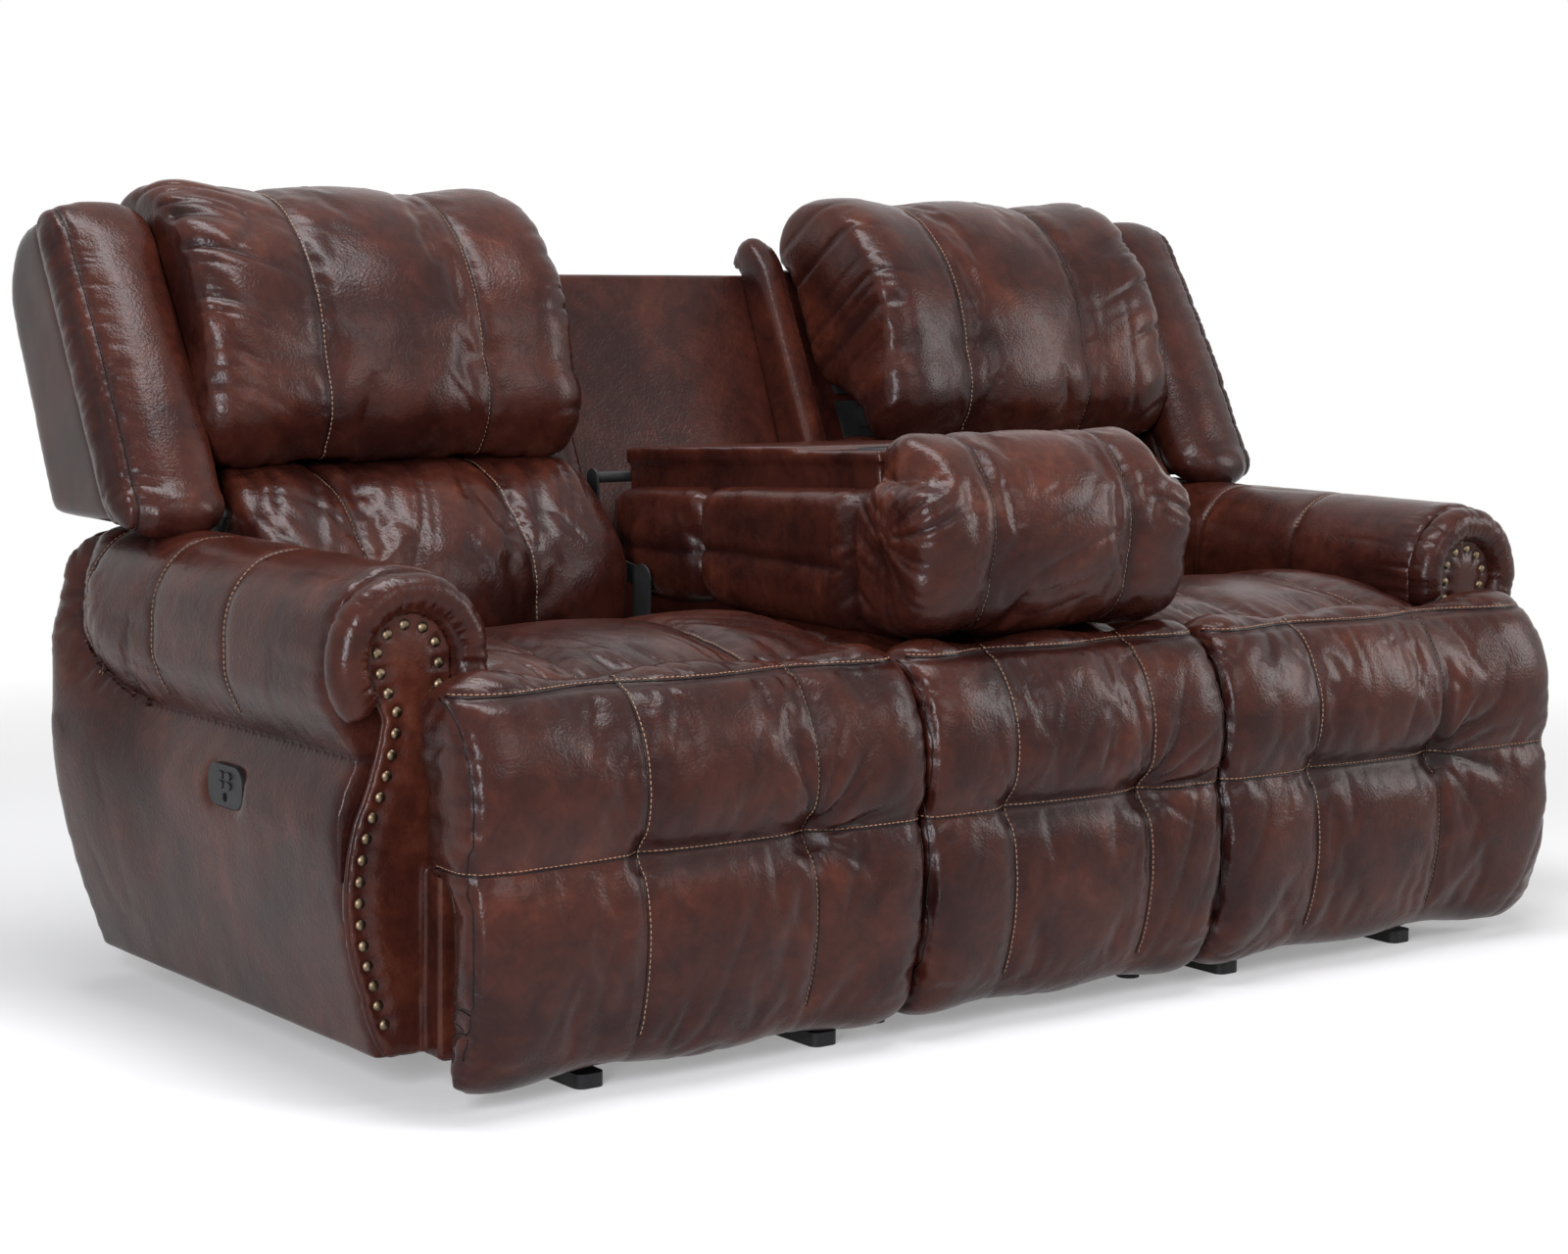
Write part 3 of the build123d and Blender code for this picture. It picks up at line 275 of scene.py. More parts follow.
class Skin:
    """A leather piece while its seams, gathers and folds are pressed into it.

    In each call, where is a mask from 0 to 1 over the piece's points, and off is their distance from
    a seam. Heights and depths are along the surface's normal, wave is the spacing of puckers or folds,
    and reach is how far they run.
    """

    def __init__(self, piece, seed):
        self.piece, self.seed = piece, seed
        self.co, self.no = points(piece), normals(piece)
        self.lift = np.zeros(len(self.co))

    def groove(self, off, where, depth, width, tight=2.0 * mm):
        """A sewn line, pulled tight by its thread, in a soft channel."""
        channel = depth * np.exp(-(off / width) ** 2)
        self.lift -= where * (channel + tight * np.exp(-(off / stitch_pull) ** 2))

    def gathers(self, along, off, where, height, wave, reach, slant=0.0):
        """Rounded puckers that run away from a seam; along is the place on the seam."""
        line = np.stack([along + slant * off, off * 0.2, along * 0], axis=1)
        coarse = ridges(line, (wave, 60 * mm, 1), self.seed) ** 3
        fine = ridges(line, (wave * 0.55, 50 * mm, 1), self.seed + 1) ** 3
        length = reach * (0.35 + 0.9 * noise(line, (wave * 1.3, 1, 1), self.seed + 5))
        fading = np.exp(-(off / length) ** 2) * ramp(off, 0, 6 * mm)
        self.lift += where * height * (0.45 - (coarse + 0.5 * fine)) * fading

    def folds(self, direction, where, height, wave, long):
        """Long soft wrinkles along a direction, some deep and most faint."""
        d = np.array(direction, float)
        d /= np.linalg.norm(d)
        along = self.co @ d
        across = self.co - along[:, None] * d
        warped = across / wave + (along / long)[:, None] * np.array([0.9, 0.7, 0.5])
        strong = ramp(noise(self.co, 130 * mm, self.seed + 2), 0.35, 0.75)
        self.lift += where * strong * height * (0.35 - ridges(warped, 1.0, self.seed) ** 4)

    def tuft(self, at, depth, size, height, reach, lean, spokes=7):
        """A pulled-in point with creases that fan out from it, most of them towards the angle lean."""
        to = self.co - np.array(at)
        r = np.linalg.norm(to, axis=1)
        angle = np.arctan2(to @ np.array((0, 0, 1)), to @ np.array((1, 0, 0)))
        wobble = noise(self.co, 70 * mm, self.seed + 3) * 1.6
        first = (1 - np.abs(np.sin(angle * spokes / 2 + wobble + self.seed))) ** 3
        second = (1 - np.abs(np.sin(angle * (spokes + 4) / 2 - wobble + self.seed * 2))) ** 4
        crease = 0.28 - first - 0.5 * second
        crease = crease * (0.15 + 0.85 * ramp(np.cos(angle - lean), 0.1, 0.85))
        self.lift -= depth * np.exp(-(r / size) ** 2)
        self.lift += height * crease * np.exp(-(r / reach) ** 2) * ramp(r, 4 * mm, 26 * mm)

    def dapple(self, height=0.9 * mm, size=45 * mm):
        """The slight unevenness of leather over foam."""
        self.lift += height * (noise(self.co, size, self.seed + 11) - 0.5)
        self.lift += 0.35 * height * (noise(self.co, size * 0.4, self.seed + 12) - 0.5)

    def press(self):
        """Moves the points, and keeps hollow places as a mask for painted shade in the leather's colour,
        and proud places as a mask for its rubbed lighter tone.
        """
        set_points(self.piece, self.co + self.no * self.lift[:, None])
        # hollows are darkened in the leather's colour, as painted shade
        shaded_hollow = np.clip(-self.lift / (5 * mm), 0, 1)
        proud = np.clip(self.lift / (3 * mm), 0, 1)
        for name, values in (("shaded_hollow", shaded_hollow), ("proud", proud)):
            mask = self.piece.data.attributes.new(name, "FLOAT", "POINT")
            mask.data.foreach_set("value", values.astype(np.float32))


# ---- Thread ----
def cut_lines(piece, origin, normal):
    """The lines where a plane meets a piece, as lists of points."""
    mesh = bmesh.new()
    mesh.from_mesh(piece.data)
    made = bmesh.ops.bisect_plane(mesh, geom=mesh.verts[:] + mesh.edges[:] + mesh.faces[:],
                                  plane_co=origin, plane_no=normal, dist=1e-6)["geom_cut"]
    nexts = {}
    for edge in (g for g in made if isinstance(g, bmesh.types.BMEdge)):
        a, b = (tuple(round(c, 6) for c in v.co) for v in edge.verts)
        nexts.setdefault(a, []).append(b)
        nexts.setdefault(b, []).append(a)
    mesh.free()
    lines = []
    while nexts:
        start = next((p for p, others in nexts.items() if len(others) == 1), next(iter(nexts)))
        line, here = [start], start
        while nexts.get(here):
            after = nexts[here].pop()
            if after in nexts and here in nexts[after]:
                nexts[after].remove(here)
            if not nexts[here]:
                del nexts[here]
            line.append(after)
            here = after
        nexts.pop(here, None)
        lines.append(np.array(line))
    return [line for line in lines if len(line) > 3]


def resampled(line, pitch):
    """Points at an even spacing along a line."""
    steps = np.linalg.norm(np.diff(line, axis=0), axis=1)
    total = np.concatenate([[0], np.cumsum(steps)])
    count = max(2, int(total[-1] / pitch) + 1)
    at = np.linspace(0, total[-1], count)
    return np.stack([np.interp(at, total, line[:, k]) for k in range(3)], axis=1)


def runs(line, keep):
    """Stretches of a line whose points pass a test."""
    found, run = [], []
    for p in line:
        if keep(p):
            run.append(p)
        elif run:
            found.append(run)
            run = []
    if run:
        found.append(run)
    return [np.array(r) for r in found if len(r) > 4]


def surface_of(piece):
    mesh = bmesh.new()
    mesh.from_mesh(piece.data)
    tree = BVHTree.FromBMesh(mesh)
    mesh.free()
    return tree


def direction_at(row, i):
    """The way a row of points runs at one of them."""
    before, after = row[max(i - 1, 0)], row[min(i + 1, len(row) - 1)]
    return Vector(after - before).normalized()


def stitch_mesh(name, rows, tree):
    """Raised stitches along rows of points lying on a surface."""
    bows = ((-0.5, -0.2, 0.5), (-0.3, 0.9, 1), (0.3, 0.9, 1), (0.5, -0.2, 0.5))  # along, up and wide
    verts, faces = [], []
    for row in rows:
        for a, b in zip(row[:-1], row[1:]):
            along = Vector(b - a)
            if along.length < 1e-6:
                continue
            spot, up, _, _ = tree.find_nearest(Vector((a + b) / 2), 0.02)
            if spot is None:
                continue
            along.normalize()
            side = up.cross(along).normalized()
            base = len(verts)
            for place, lift, wide in bows:
                for w in (-1, 1):
                    verts.append(spot + along * (place * stitch_length) + up * (lift * stitch_thick)
                                 + side * (w * wide * stitch_thick * 0.85))
            for k in (0, 2, 4):
                faces.append((base + k, base + k + 1, base + k + 3, base + k + 2))
    return built(name, verts, faces)


def beside(row, tree, off):
    """A row moved sideways over the surface."""
    moved = []
    for i, p in enumerate(row):
        spot, up, _, _ = tree.find_nearest(Vector(p), 0.03)
        if spot is not None:
            moved.append(np.array(spot + up.cross(direction_at(row, i)).normalized() * off))
    return np.array(moved)


def tube(name, row, radius, around):
    """A round cord of leather along a row of points, with so many points around."""
    verts, faces = [], []
    up = Vector((0.13, 0.21, 0.97))    # aslant, so that no seam runs along it
    for i, p in enumerate(row):
        along = direction_at(row, i)
        side = along.cross(up).normalized()
        top = side.cross(along)
        for k in range(around):
            t = 2 * pi * k / around
            verts.append(Vector(p) + side * (cos(t) * radius) + top * (sin(t) * radius))
    for o in range(0, (len(row) - 1) * around, around):
        for k in range(around):
            n = (k + 1) % around
            faces.append((o + k, o + n, o + around + n, o + around + k))
    faces.append(tuple(range(around))[::-1])
    faces.append(tuple(range(len(verts) - around, len(verts))))
    return built(name, verts, faces)


def joined(pieces, name):
    """Several small meshes as one piece."""
    mesh = bmesh.new()
    for piece in pieces:
        mesh.from_mesh(piece.data)
        bpy.data.objects.remove(piece)
    made = bpy.data.meshes.new(name)
    mesh.to_mesh(made)
    mesh.free()
    made.shade_smooth()
    return link(bpy.data.objects.new(name, made))


def planes(axis, places, shown):
    """Planes square to an axis at some places, each with the test that its seam's points pass."""
    turn = {"x": 0, "y": 1, "z": 2}[axis]
    normal = tuple(np.eye(3)[turn])
    return [(tuple(place * n for n in normal), normal, shown) for place in places]


def sew(piece, cuts, offsets=(3.4 * mm,), suffix=""):
    """A dark cord of painted shade along the seam at each cut, and a row of thread at each offset beside
    it.
    """
    tree = surface_of(piece)
    rows, edges = [], []
    for origin, normal, keep in cuts:
        for line in cut_lines(piece, origin, normal):
            for run in runs(resampled(line, thread_pitch), keep):
                edges.append(run)
                rows += [beside(run, tree, off) for off in offsets]
    if not edges:
        return
    name = piece.name + suffix
    # a dark leather cord that paints the seam's shade along its line
    edge = joined([tube("edge", run, shade_cord_radius, 6) for run in edges], f"{name}_seam")
    edge.data.materials.append(seam_shade_finish)
    edge.parent = piece
    if rows:
        thread = stitch_mesh(f"{name}_thread", rows, tree)
        thread.data.materials.append(thread_finish)
        thread.parent = piece


# ---- Finishes ----
def new_material(name):
    material = bpy.data.materials.new(name)
    material.use_nodes = True
    tree = material.node_tree
    return material, tree, tree.nodes["Principled BSDF"]


def new_group(name, inputs, outputs):
    """A shader node group, with its input and output nodes; both are given as names and kinds."""
    group = bpy.data.node_groups.new(name, "ShaderNodeTree")
    for way, sockets in (("INPUT", inputs), ("OUTPUT", outputs)):
        for label, kind in sockets.items():
            group.interface.new_socket(label, in_out=way, socket_type=f"NodeSocket{kind}")
    return group, group.nodes.new("NodeGroupInput"), group.nodes.new("NodeGroupOutput")


def add(tree, kind, **values):
    """A node with its settings, or the values of its sockets, given by name."""
    node = tree.nodes.new(kind)
    for key, value in values.items():
        if key in node.inputs:
            node.inputs[key].default_value = value
        else:
            setattr(node, key, value)
    return node


def math_node(tree, operation, a, b):
    """The result of a sum; a and b are numbers or sockets."""
    node = add(tree, "ShaderNodeMath", operation=operation)
    for socket, value in zip(node.inputs, (a, b)):
        if isinstance(value, (int, float)):
            socket.default_value = value
        else:
            tree.links.new(value, socket)
    return node.outputs[0]


def weighed(tree, *parts):
    """The sum of some sockets, each times its weight."""
    total = 0.0
    for socket, weight in parts:
        total = math_node(tree, "ADD", total, math_node(tree, "MULTIPLY", socket, weight))
    return total


def ramp_node(tree, fac, stops):
    node = tree.nodes.new("ShaderNodeValToRGB")
    tree.links.new(fac, node.inputs["Fac"])
    elements = node.color_ramp.elements
    while len(elements) < len(stops):
        elements.new(0.5)
    for element, (place, colour) in zip(elements, stops):
        element.position = place
        element.color = (*colour, 1.0)
    return node.outputs["Color"]


def noise_node(tree, coords, scale, detail, rough, distortion=0.0):
    """Cloudy noise; scale is a number or a socket."""
    node = add(tree, "ShaderNodeTexNoise", Detail=detail, Roughness=rough, Distortion=distortion)
    tree.links.new(coords, node.inputs["Vector"])
    if isinstance(scale, float):
        node.inputs["Scale"].default_value = scale
    else:
        tree.links.new(scale, node.inputs["Scale"])
    return node.outputs["Fac"]


def relief(tree, height, strength, distance):
    """The normal of a surface roughened by a height."""
    bump = add(tree, "ShaderNodeBump", Strength=strength, Distance=distance)
    tree.links.new(height, bump.inputs["Height"])
    return bump.outputs["Normal"]


def hide_group():
    """Two-tone leather: mottled dye, rubbed high places, painted shade in the hollows, pebbles and fine
    creases.
    """
    group, given, made = new_group(
        "two_tone_hide", {"Coordinates": "Vector", "Lightness": "Float", "Grain": "Float"},
        {"Colour": "Color", "Roughness": "Float", "Normal": "Vector"})
    where = given.outputs["Coordinates"]
    shaded_hollow = add(group, "ShaderNodeAttribute", attribute_name="shaded_hollow").outputs["Fac"]
    proud = add(group, "ShaderNodeAttribute", attribute_name="proud").outputs["Fac"]

    cloud = noise_node(group, where, 5.5, detail=5.0, rough=0.6, distortion=0.6)
    patch = noise_node(group, where, 19.0, detail=4.0, rough=0.62, distortion=0.9)
    speck = noise_node(group, where, 95.0, detail=3.0, rough=0.6)
    lightness = math_node(group, "SUBTRACT", given.outputs["Lightness"], 0.5)
    # the hollow mask darkens the colour in grooves and creases: painted shade
    mottle = weighed(group, (cloud, 0.55), (patch, 0.33), (speck, 0.12), (lightness, 1.0),
                     (shaded_hollow, -0.12), (proud, 0.07))
    colour = ramp_node(group, mottle, [
        (0.24, (0.007, 0.0022, 0.0021)), (0.44, (0.024, 0.0060, 0.0044)),
        (0.57, (0.048, 0.0118, 0.0072)), (0.78, (0.120, 0.034, 0.018))])

    pebble = add(group, "ShaderNodeTexVoronoi", feature="SMOOTH_F1", Scale=270.0)
    group.links.new(where, pebble.inputs["Vector"])
    crinkle = noise_node(group, where, 130.0, detail=4.0, rough=0.68, distortion=0.8)
    bend = noise_node(group, where, 42.0, detail=3.0, rough=0.6, distortion=1.6)
    from_fold = math_node(group, "ABSOLUTE", math_node(group, "SUBTRACT", bend, 0.5), 0.0)
    crease = math_node(group, "SUBTRACT", 1.0, math_node(group, "MULTIPLY", from_fold, 5.0))
    crease = math_node(group, "POWER", math_node(group, "MAXIMUM", crease, 0.0), 4.0)
    height = weighed(group, (pebble.outputs["Distance"], 1.0), (crinkle, 0.9), (crease, -0.35))
    height = math_node(group, "MULTIPLY", height, given.outputs["Grain"])
    rough = math_node(group, "ADD", 0.185, weighed(group, (crinkle, 0.12), (shaded_hollow, 0.12)))

    group.links.new(colour, made.inputs["Colour"])
    group.links.new(rough, made.inputs["Roughness"])
    group.links.new(relief(group, height, strength=0.38, distance=0.0007), made.inputs["Normal"])
    return group


def wear_group():
    """The cloudy and fine unevenness of paint, plastic, metal and thread."""
    group, given, made = new_group("uneven_wear", {"Coordinates": "Vector", "Scale": "Float"},
                                   {"Blend": "Float", "Fine": "Float"})
    where, scale = given.outputs["Coordinates"], given.outputs["Scale"]
    cloud = noise_node(group, where, scale, detail=4.0, rough=0.6, distortion=0.4)
    fine = noise_node(group, where, math_node(group, "MULTIPLY", scale, 12.0), detail=3.0, rough=0.6)
    group.links.new(weighed(group, (cloud, 0.75), (fine, 0.25)), made.inputs["Blend"])
    group.links.new(fine, made.inputs["Fine"])
    return group


def leather(name, lightness, grain=1.0):
    """A leather, from dark at a lightness of 0 to pale at 1; grain is the height of its pebbles."""
    material, tree, shader = new_material(name)
    coords = tree.nodes.new("ShaderNodeTexCoord")
    hide = add(tree, "ShaderNodeGroup", node_tree=hide_tree)
    hide.inputs["Lightness"].default_value = lightness
    hide.inputs["Grain"].default_value = grain
    tree.links.new(coords.outputs["Object"], hide.inputs["Coordinates"])
    tree.links.new(hide.outputs["Colour"], shader.inputs["Base Color"])
    tree.links.new(hide.outputs["Roughness"], shader.inputs["Roughness"])
    tree.links.new(hide.outputs["Normal"], shader.inputs["Normal"])
    shader.inputs["Specular IOR Level"].default_value = 0.19
    return material


def worn(name, low, high, rough, scale, metallic=0.0, bump=0.0):
    """A finish whose colour and roughness wander between two values."""
    material, tree, shader = new_material(name)
    coords = tree.nodes.new("ShaderNodeTexCoord").outputs["Object"]
    wear = add(tree, "ShaderNodeGroup", node_tree=wear_tree)
    wear.inputs["Scale"].default_value = scale
    tree.links.new(coords, wear.inputs["Coordinates"])
    blend, fine = wear.outputs["Blend"], wear.outputs["Fine"]
    tree.links.new(ramp_node(tree, blend, [(0.35, low), (0.65, high)]), shader.inputs["Base Color"])
    tree.links.new(math_node(tree, "ADD", rough - 0.06, math_node(tree, "MULTIPLY", fine, 0.14)),
                   shader.inputs["Roughness"])
    shader.inputs["Metallic"].default_value = metallic
    shader.inputs["Specular IOR Level"].default_value = 0.25
    if bump:
        tree.links.new(relief(tree, fine, strength=bump, distance=0.0004), shader.inputs["Normal"])
    return material


def board_wood():
    """Bare wood with its grain across the sofa, for the footrest boards."""
    material, tree, shader = new_material("bare_board")
    coords = tree.nodes.new("ShaderNodeTexCoord").outputs["Object"]
    stretch = add(tree, "ShaderNodeMapping", Scale=(3.0, 40.0, 40.0))
    tree.links.new(coords, stretch.inputs["Vector"])
    grain = noise_node(tree, stretch.outputs["Vector"], 2.0, detail=6.0, rough=0.65, distortion=1.2)
    tree.links.new(ramp_node(tree, grain, [(0.3, (0.26, 0.16, 0.085)), (0.55, (0.48, 0.33, 0.19)),
                                           (0.75, (0.58, 0.43, 0.27))]), shader.inputs["Base Color"])
    shader.inputs["Roughness"].default_value = 0.7
    tree.links.new(relief(tree, grain, strength=0.3, distance=0.0008), shader.inputs["Normal"])
    return material


hide_tree, wear_tree = hide_group(), wear_group()
hide_finish = leather("two_tone_leather", 0.50)
hide_dark = leather("two_tone_leather_dark", 0.43, 0.45)
# dark leather for the cords that paint the shade along the seams
seam_shade_finish = leather("seam_painted_shade", 0.20)
thread_finish = worn("tan_thread", (0.22, 0.118, 0.074), (0.35, 0.205, 0.13), 0.6, 300.0)
steel_finish = worn("black_painted_steel", (0.012, 0.012, 0.013), (0.028, 0.027, 0.027), 0.42, 24.0,
                    bump=0.15)
plastic_finish = worn("black_plastic", (0.010, 0.010, 0.011), (0.020, 0.020, 0.021), 0.48, 60.0,
                      bump=0.2)
nail_finish = worn("antique_brass", (0.075, 0.052, 0.034), (0.22, 0.165, 0.105), 0.36, 160.0,
                   metallic=1.0, bump=0.25)
board_finish = board_wood()


def repaint(node, material):
    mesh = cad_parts[node].data
    mesh.materials.clear()
    mesh.materials.append(material)


def dress(piece, body, node, finish=hide_finish):
    """Gives a leather piece its finish, its body and the node it stands for."""
    piece.data.materials.clear()
    piece.data.materials.append(finish)
    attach(piece, body)
    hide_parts(node)


def seams_held(held, x, seams, grip=0.8):
    """How firmly points are held, with those on the upright seams added."""
    for seam in seams:
        held = np.maximum(held, grip * near(x, seam, seam_grip))
    return held


def sewn_seams(skin, seams, where, along, seam, pucker):
    """Sews upright seams; seam and pucker are the values of their grooves and gathers."""
    for place in seams:
        off = np.abs(skin.co[:, 0] - place)
        skin.groove(off, where, *seam)
        skin.gathers(along, off, where, *pucker)


# ---- Front pads ----
def pad_held(co, seams):
    """How firmly a front pad's points are held: its rear, its foot and its seams."""
    x, y, z = co.T
    held = np.where(y > board_front - 12 * mm, 1.0, 0.0)
    held = np.maximum(held, np.where(z < pad_foot, 0.9, 0))
    held = np.maximum(held, 0.9 * near(z, lip_z, seam_grip) * (y < lip_rear))
    held = seams_held(held, x, seams, 0.85)
    between = (x > min(seams) - 10 * mm) & (x < max(seams) + 10 * mm)
    return np.maximum(held, np.where(between, 1.0, 0.7) * near(z, waist_z, 7 * mm))


def pad_detail(piece, seams, seed):
    """A front pad's waist, upright seams, tufts, gathered lip and gathered ends."""
    skin = Skin(piece, seed)
    x, y, z = skin.co.T
    left, right = min(seams), max(seams)
    front = ramp(y, board_front - 5 * mm, board_front - 30 * mm)
    between = ramp(x, left - 30 * mm, left + 10 * mm) * ramp(x, right + 30 * mm, right - 10 * mm)
    skin.groove(np.abs(z - waist_z), front * (0.12 + 0.88 * between), depth=3.5 * mm, width=12 * mm)
    skin.lift -= front * between * 5 * mm * near(z, waist_z - 4 * mm, 26 * mm)
    by_waist = front * (0.35 + 0.65 * near(z, waist_z, 90 * mm))
    for seam in seams:
        off = np.abs(x - seam)
        skin.groove(off, by_waist, depth=2.2 * mm, width=11 * mm, tight=1.8 * mm)
        skin.gathers(z, off, front, height=1.0 * mm, wave=34 * mm, reach=34 * mm)
    right_tuft, left_tuft = (right, pad_face, waist_z), (left, pad_face, waist_z)
    skin.tuft(right_tuft, depth=12 * mm, size=26 * mm, height=10.5 * mm, reach=115 * mm, lean=0.8)
    skin.tuft(right_tuft, depth=0, size=26 * mm, height=4.0 * mm, reach=90 * mm, lean=-0.6, spokes=9)
    skin.tuft(left_tuft, depth=7 * mm, size=24 * mm, height=3.2 * mm, reach=80 * mm, lean=2.0)

    lip = np.abs(z - lip_z)
    top = ramp(z, lip_z + 1 * mm, lip_z + 8 * mm)
    top = top * ramp(y, board_front + 30 * mm, board_front - 10 * mm)
    below = front * ramp(z, lip_z, lip_z - 10 * mm) * between
    skin.gathers(x, np.abs(y - lip_crown), top, height=4.0 * mm, wave=44 * mm, reach=90 * mm, slant=0.5)
    skin.gathers(x, lip, below, height=2.2 * mm, wave=34 * mm, reach=80 * mm)
    skin.groove(lip + 0.5 * np.maximum(0, y - lip_rear), front, depth=2.0 * mm, width=8 * mm)
    skin.folds((0.5, 0, 1), front, height=2.4 * mm, wave=42 * mm, long=240 * mm)
    ends = np.minimum(np.abs(x - x.min()), np.abs(x - x.max()))
    skin.gathers(z, ends, 1.0, height=3.4 * mm, wave=30 * mm, reach=30 * mm, slant=0.4)
    skin.groove(np.abs(ends - pad_end), front, depth=1.2 * mm, width=6 * mm, tight=1.4 * mm)
    skin.dapple()
    skin.press()


def pad_thread(piece, seams):
    """Thread on the upright seams, the waist and the lip, with a dark cord of painted shade along each,
    and such a cord alone on the seams of the two ends.
    """
    def front(p):
        return p[1] < board_front - 20 * mm and p[2] > pad_foot + 8 * mm

    x = points(piece)[:, 0]
    ends = (x.min() + pad_end, x.max() - pad_end)
    sew(piece, planes("x", seams, front))
    sew(piece, planes("x", ends, front), (), "_end")
    sew(piece, planes("z", [waist_z], front), (3.2 * mm,), "_waist")
    sew(piece, planes("z", [lip_z], lambda p: p[1] < board_front - 30 * mm), suffix="_lip")


def front_pads():
    def filled(name, node, seams):
        pad = even_copy(name, node, size=voxel, rounds=8)
        swell(pad, pad_held(points(pad), seams), spare=0.012, cap=9 * mm)
        refine(pad)
        return pad

    right = filled("front_pad_right", "footrest_pad_right", seam_places)
    for pad, side, _, seams, seed in both_sides(right, "front_pad", (3, 8)):
        pad_detail(pad, seams, seed)
        dress(pad, f"footrest_{side}", f"footrest_pad_{side}")
        pad_thread(pad, seams)
    middle = filled("front_pad_centre", "centre_front_pad", centre_seams)
    pad_detail(middle, centre_seams, 5)
    dress(middle, "base", "centre_front_pad")
    pad_thread(middle, centre_seams)


# ---- Seats ----
def seat_held(co, seams, rear):
    """How firmly a seat's points are held: below its top, at its lip, at its rear and on its seams."""
    x, y, z = co.T
    held = np.where(z < seat_side, 1.0, 0.0)
    held = np.maximum(held, np.where(y < seat_lip + 10 * mm, 0.8, 0))
    held = np.maximum(held, np.where(y > rear - 20 * mm, 0.9, 0))
    return seams_held(held, x, seams)


def seat_detail(piece, seams, seed, lean):
    """A seat's upright seams, the gathers behind its lip, and folds that lean to one side."""
    skin = Skin(piece, seed)
    x, y, z = skin.co.T
    top = ramp(z, seat_side + 15 * mm, seat_side + 45 * mm)
    sewn_seams(skin, seams, top, y, (2.2 * mm, 12 * mm, 1.8 * mm), (1.1 * mm, 30 * mm, 30 * mm))
    skin.gathers(x, np.abs(y - seat_lip), top, height=4.2 * mm, wave=30 * mm, reach=95 * mm, slant=0.25)
    skin.folds((lean, 1, 0), top, height=2.4 * mm, wave=40 * mm, long=200 * mm)
    skin.dapple()
    skin.press()


def seats():
    def shown(p):
        return p[2] > seat_side + 30 * mm

    def filled(name, node, seams, rear, cap):
        seat = even_copy(name, node, size=voxel, rounds=8)
        swell(seat, seat_held(points(seat), seams, rear), spare=0.014, cap=cap)
        refine(seat)
        return seat

    right = filled("seat_right", "seat_cushion_right", seam_places, 84 * mm, 9 * mm)
    for seat, side, sign, seams, seed in both_sides(right, "seat", (13, 18)):
        seat_detail(seat, seams, seed, 0.3 * sign)
        dress(seat, f"seat_{side}", f"seat_cushion_{side}")
        sew(seat, planes("x", seams, shown))
    middle = filled("seat_centre", "centre_seat_cushion", centre_seams, 66 * mm, 7 * mm)
    seat_detail(middle, centre_seams, 15, 0.1)
    dress(middle, "base", "centre_seat_cushion")
    sew(middle, planes("x", centre_seams, shown))


# ---- Backs ----
def back_held(piece, low, high):
    """How firmly a back cushion's points are held: its rear, its ends and its seams."""
    x = points(piece)[:, 0]
    held = np.where(normals(piece)[:, 1] > 0.55, 1.0, 0.0)
    held = np.maximum(held, np.where(np.minimum(x - low.x, high.x - x) < 8 * mm, 0.7, 0))
    return seams_held(held, x, seam_places)


def lumbars():
    lumbar = even_copy("lumbar_right", "lumbar_cushion_right", size=voxel, rounds=10)
    low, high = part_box("lumbar_cushion_right")
    swell(lumbar, back_held(lumbar, low, high), spare=0.018, cap=10 * mm)
    top = ramp(points(lumbar)[:, 2], high.z - 80 * mm, high.z - 10 * mm)
    puff(lumbar, top * 9 * mm)
    co = points(lumbar)
    co[:, 0] += 34 * mm * ramp(co[:, 0], high.x - 100 * mm, high.x)    # reaches behind the wing
    set_points(lumbar, co)
    fit_width(lumbar, low.x + 1.5 * mm)
    refine(lumbar)
    for piece, side, sign, seams, seed in both_sides(lumbar, "lumbar", (23, 28)):
        skin = Skin(piece, seed)
        x, y, z = skin.co.T
        front = ramp(skin.no[:, 1], 0.3, -0.2)
        bend = front * ramp(z, lumbar_waist - 220 * mm, lumbar_waist - 80 * mm)
        sewn_seams(skin, seams, front, z, (2.2 * mm, 12 * mm, 1.8 * mm), (1.0 * mm, 24 * mm, 28 * mm))
        skin.gathers(x, np.abs(z - lumbar_waist), front, height=5.0 * mm, wave=30 * mm, reach=130 * mm,
                     slant=0.45 * -sign)
        skin.folds((0.55, -0.3, -0.8), bend, height=3.2 * mm, wave=34 * mm, long=150 * mm)
        skin.dapple()
        skin.press()
        dress(piece, f"back_{side}", f"lumbar_cushion_{side}")
        sew(piece, planes("x", seams, lambda p: p[1] < 300 * mm and p[2] > 450 * mm))


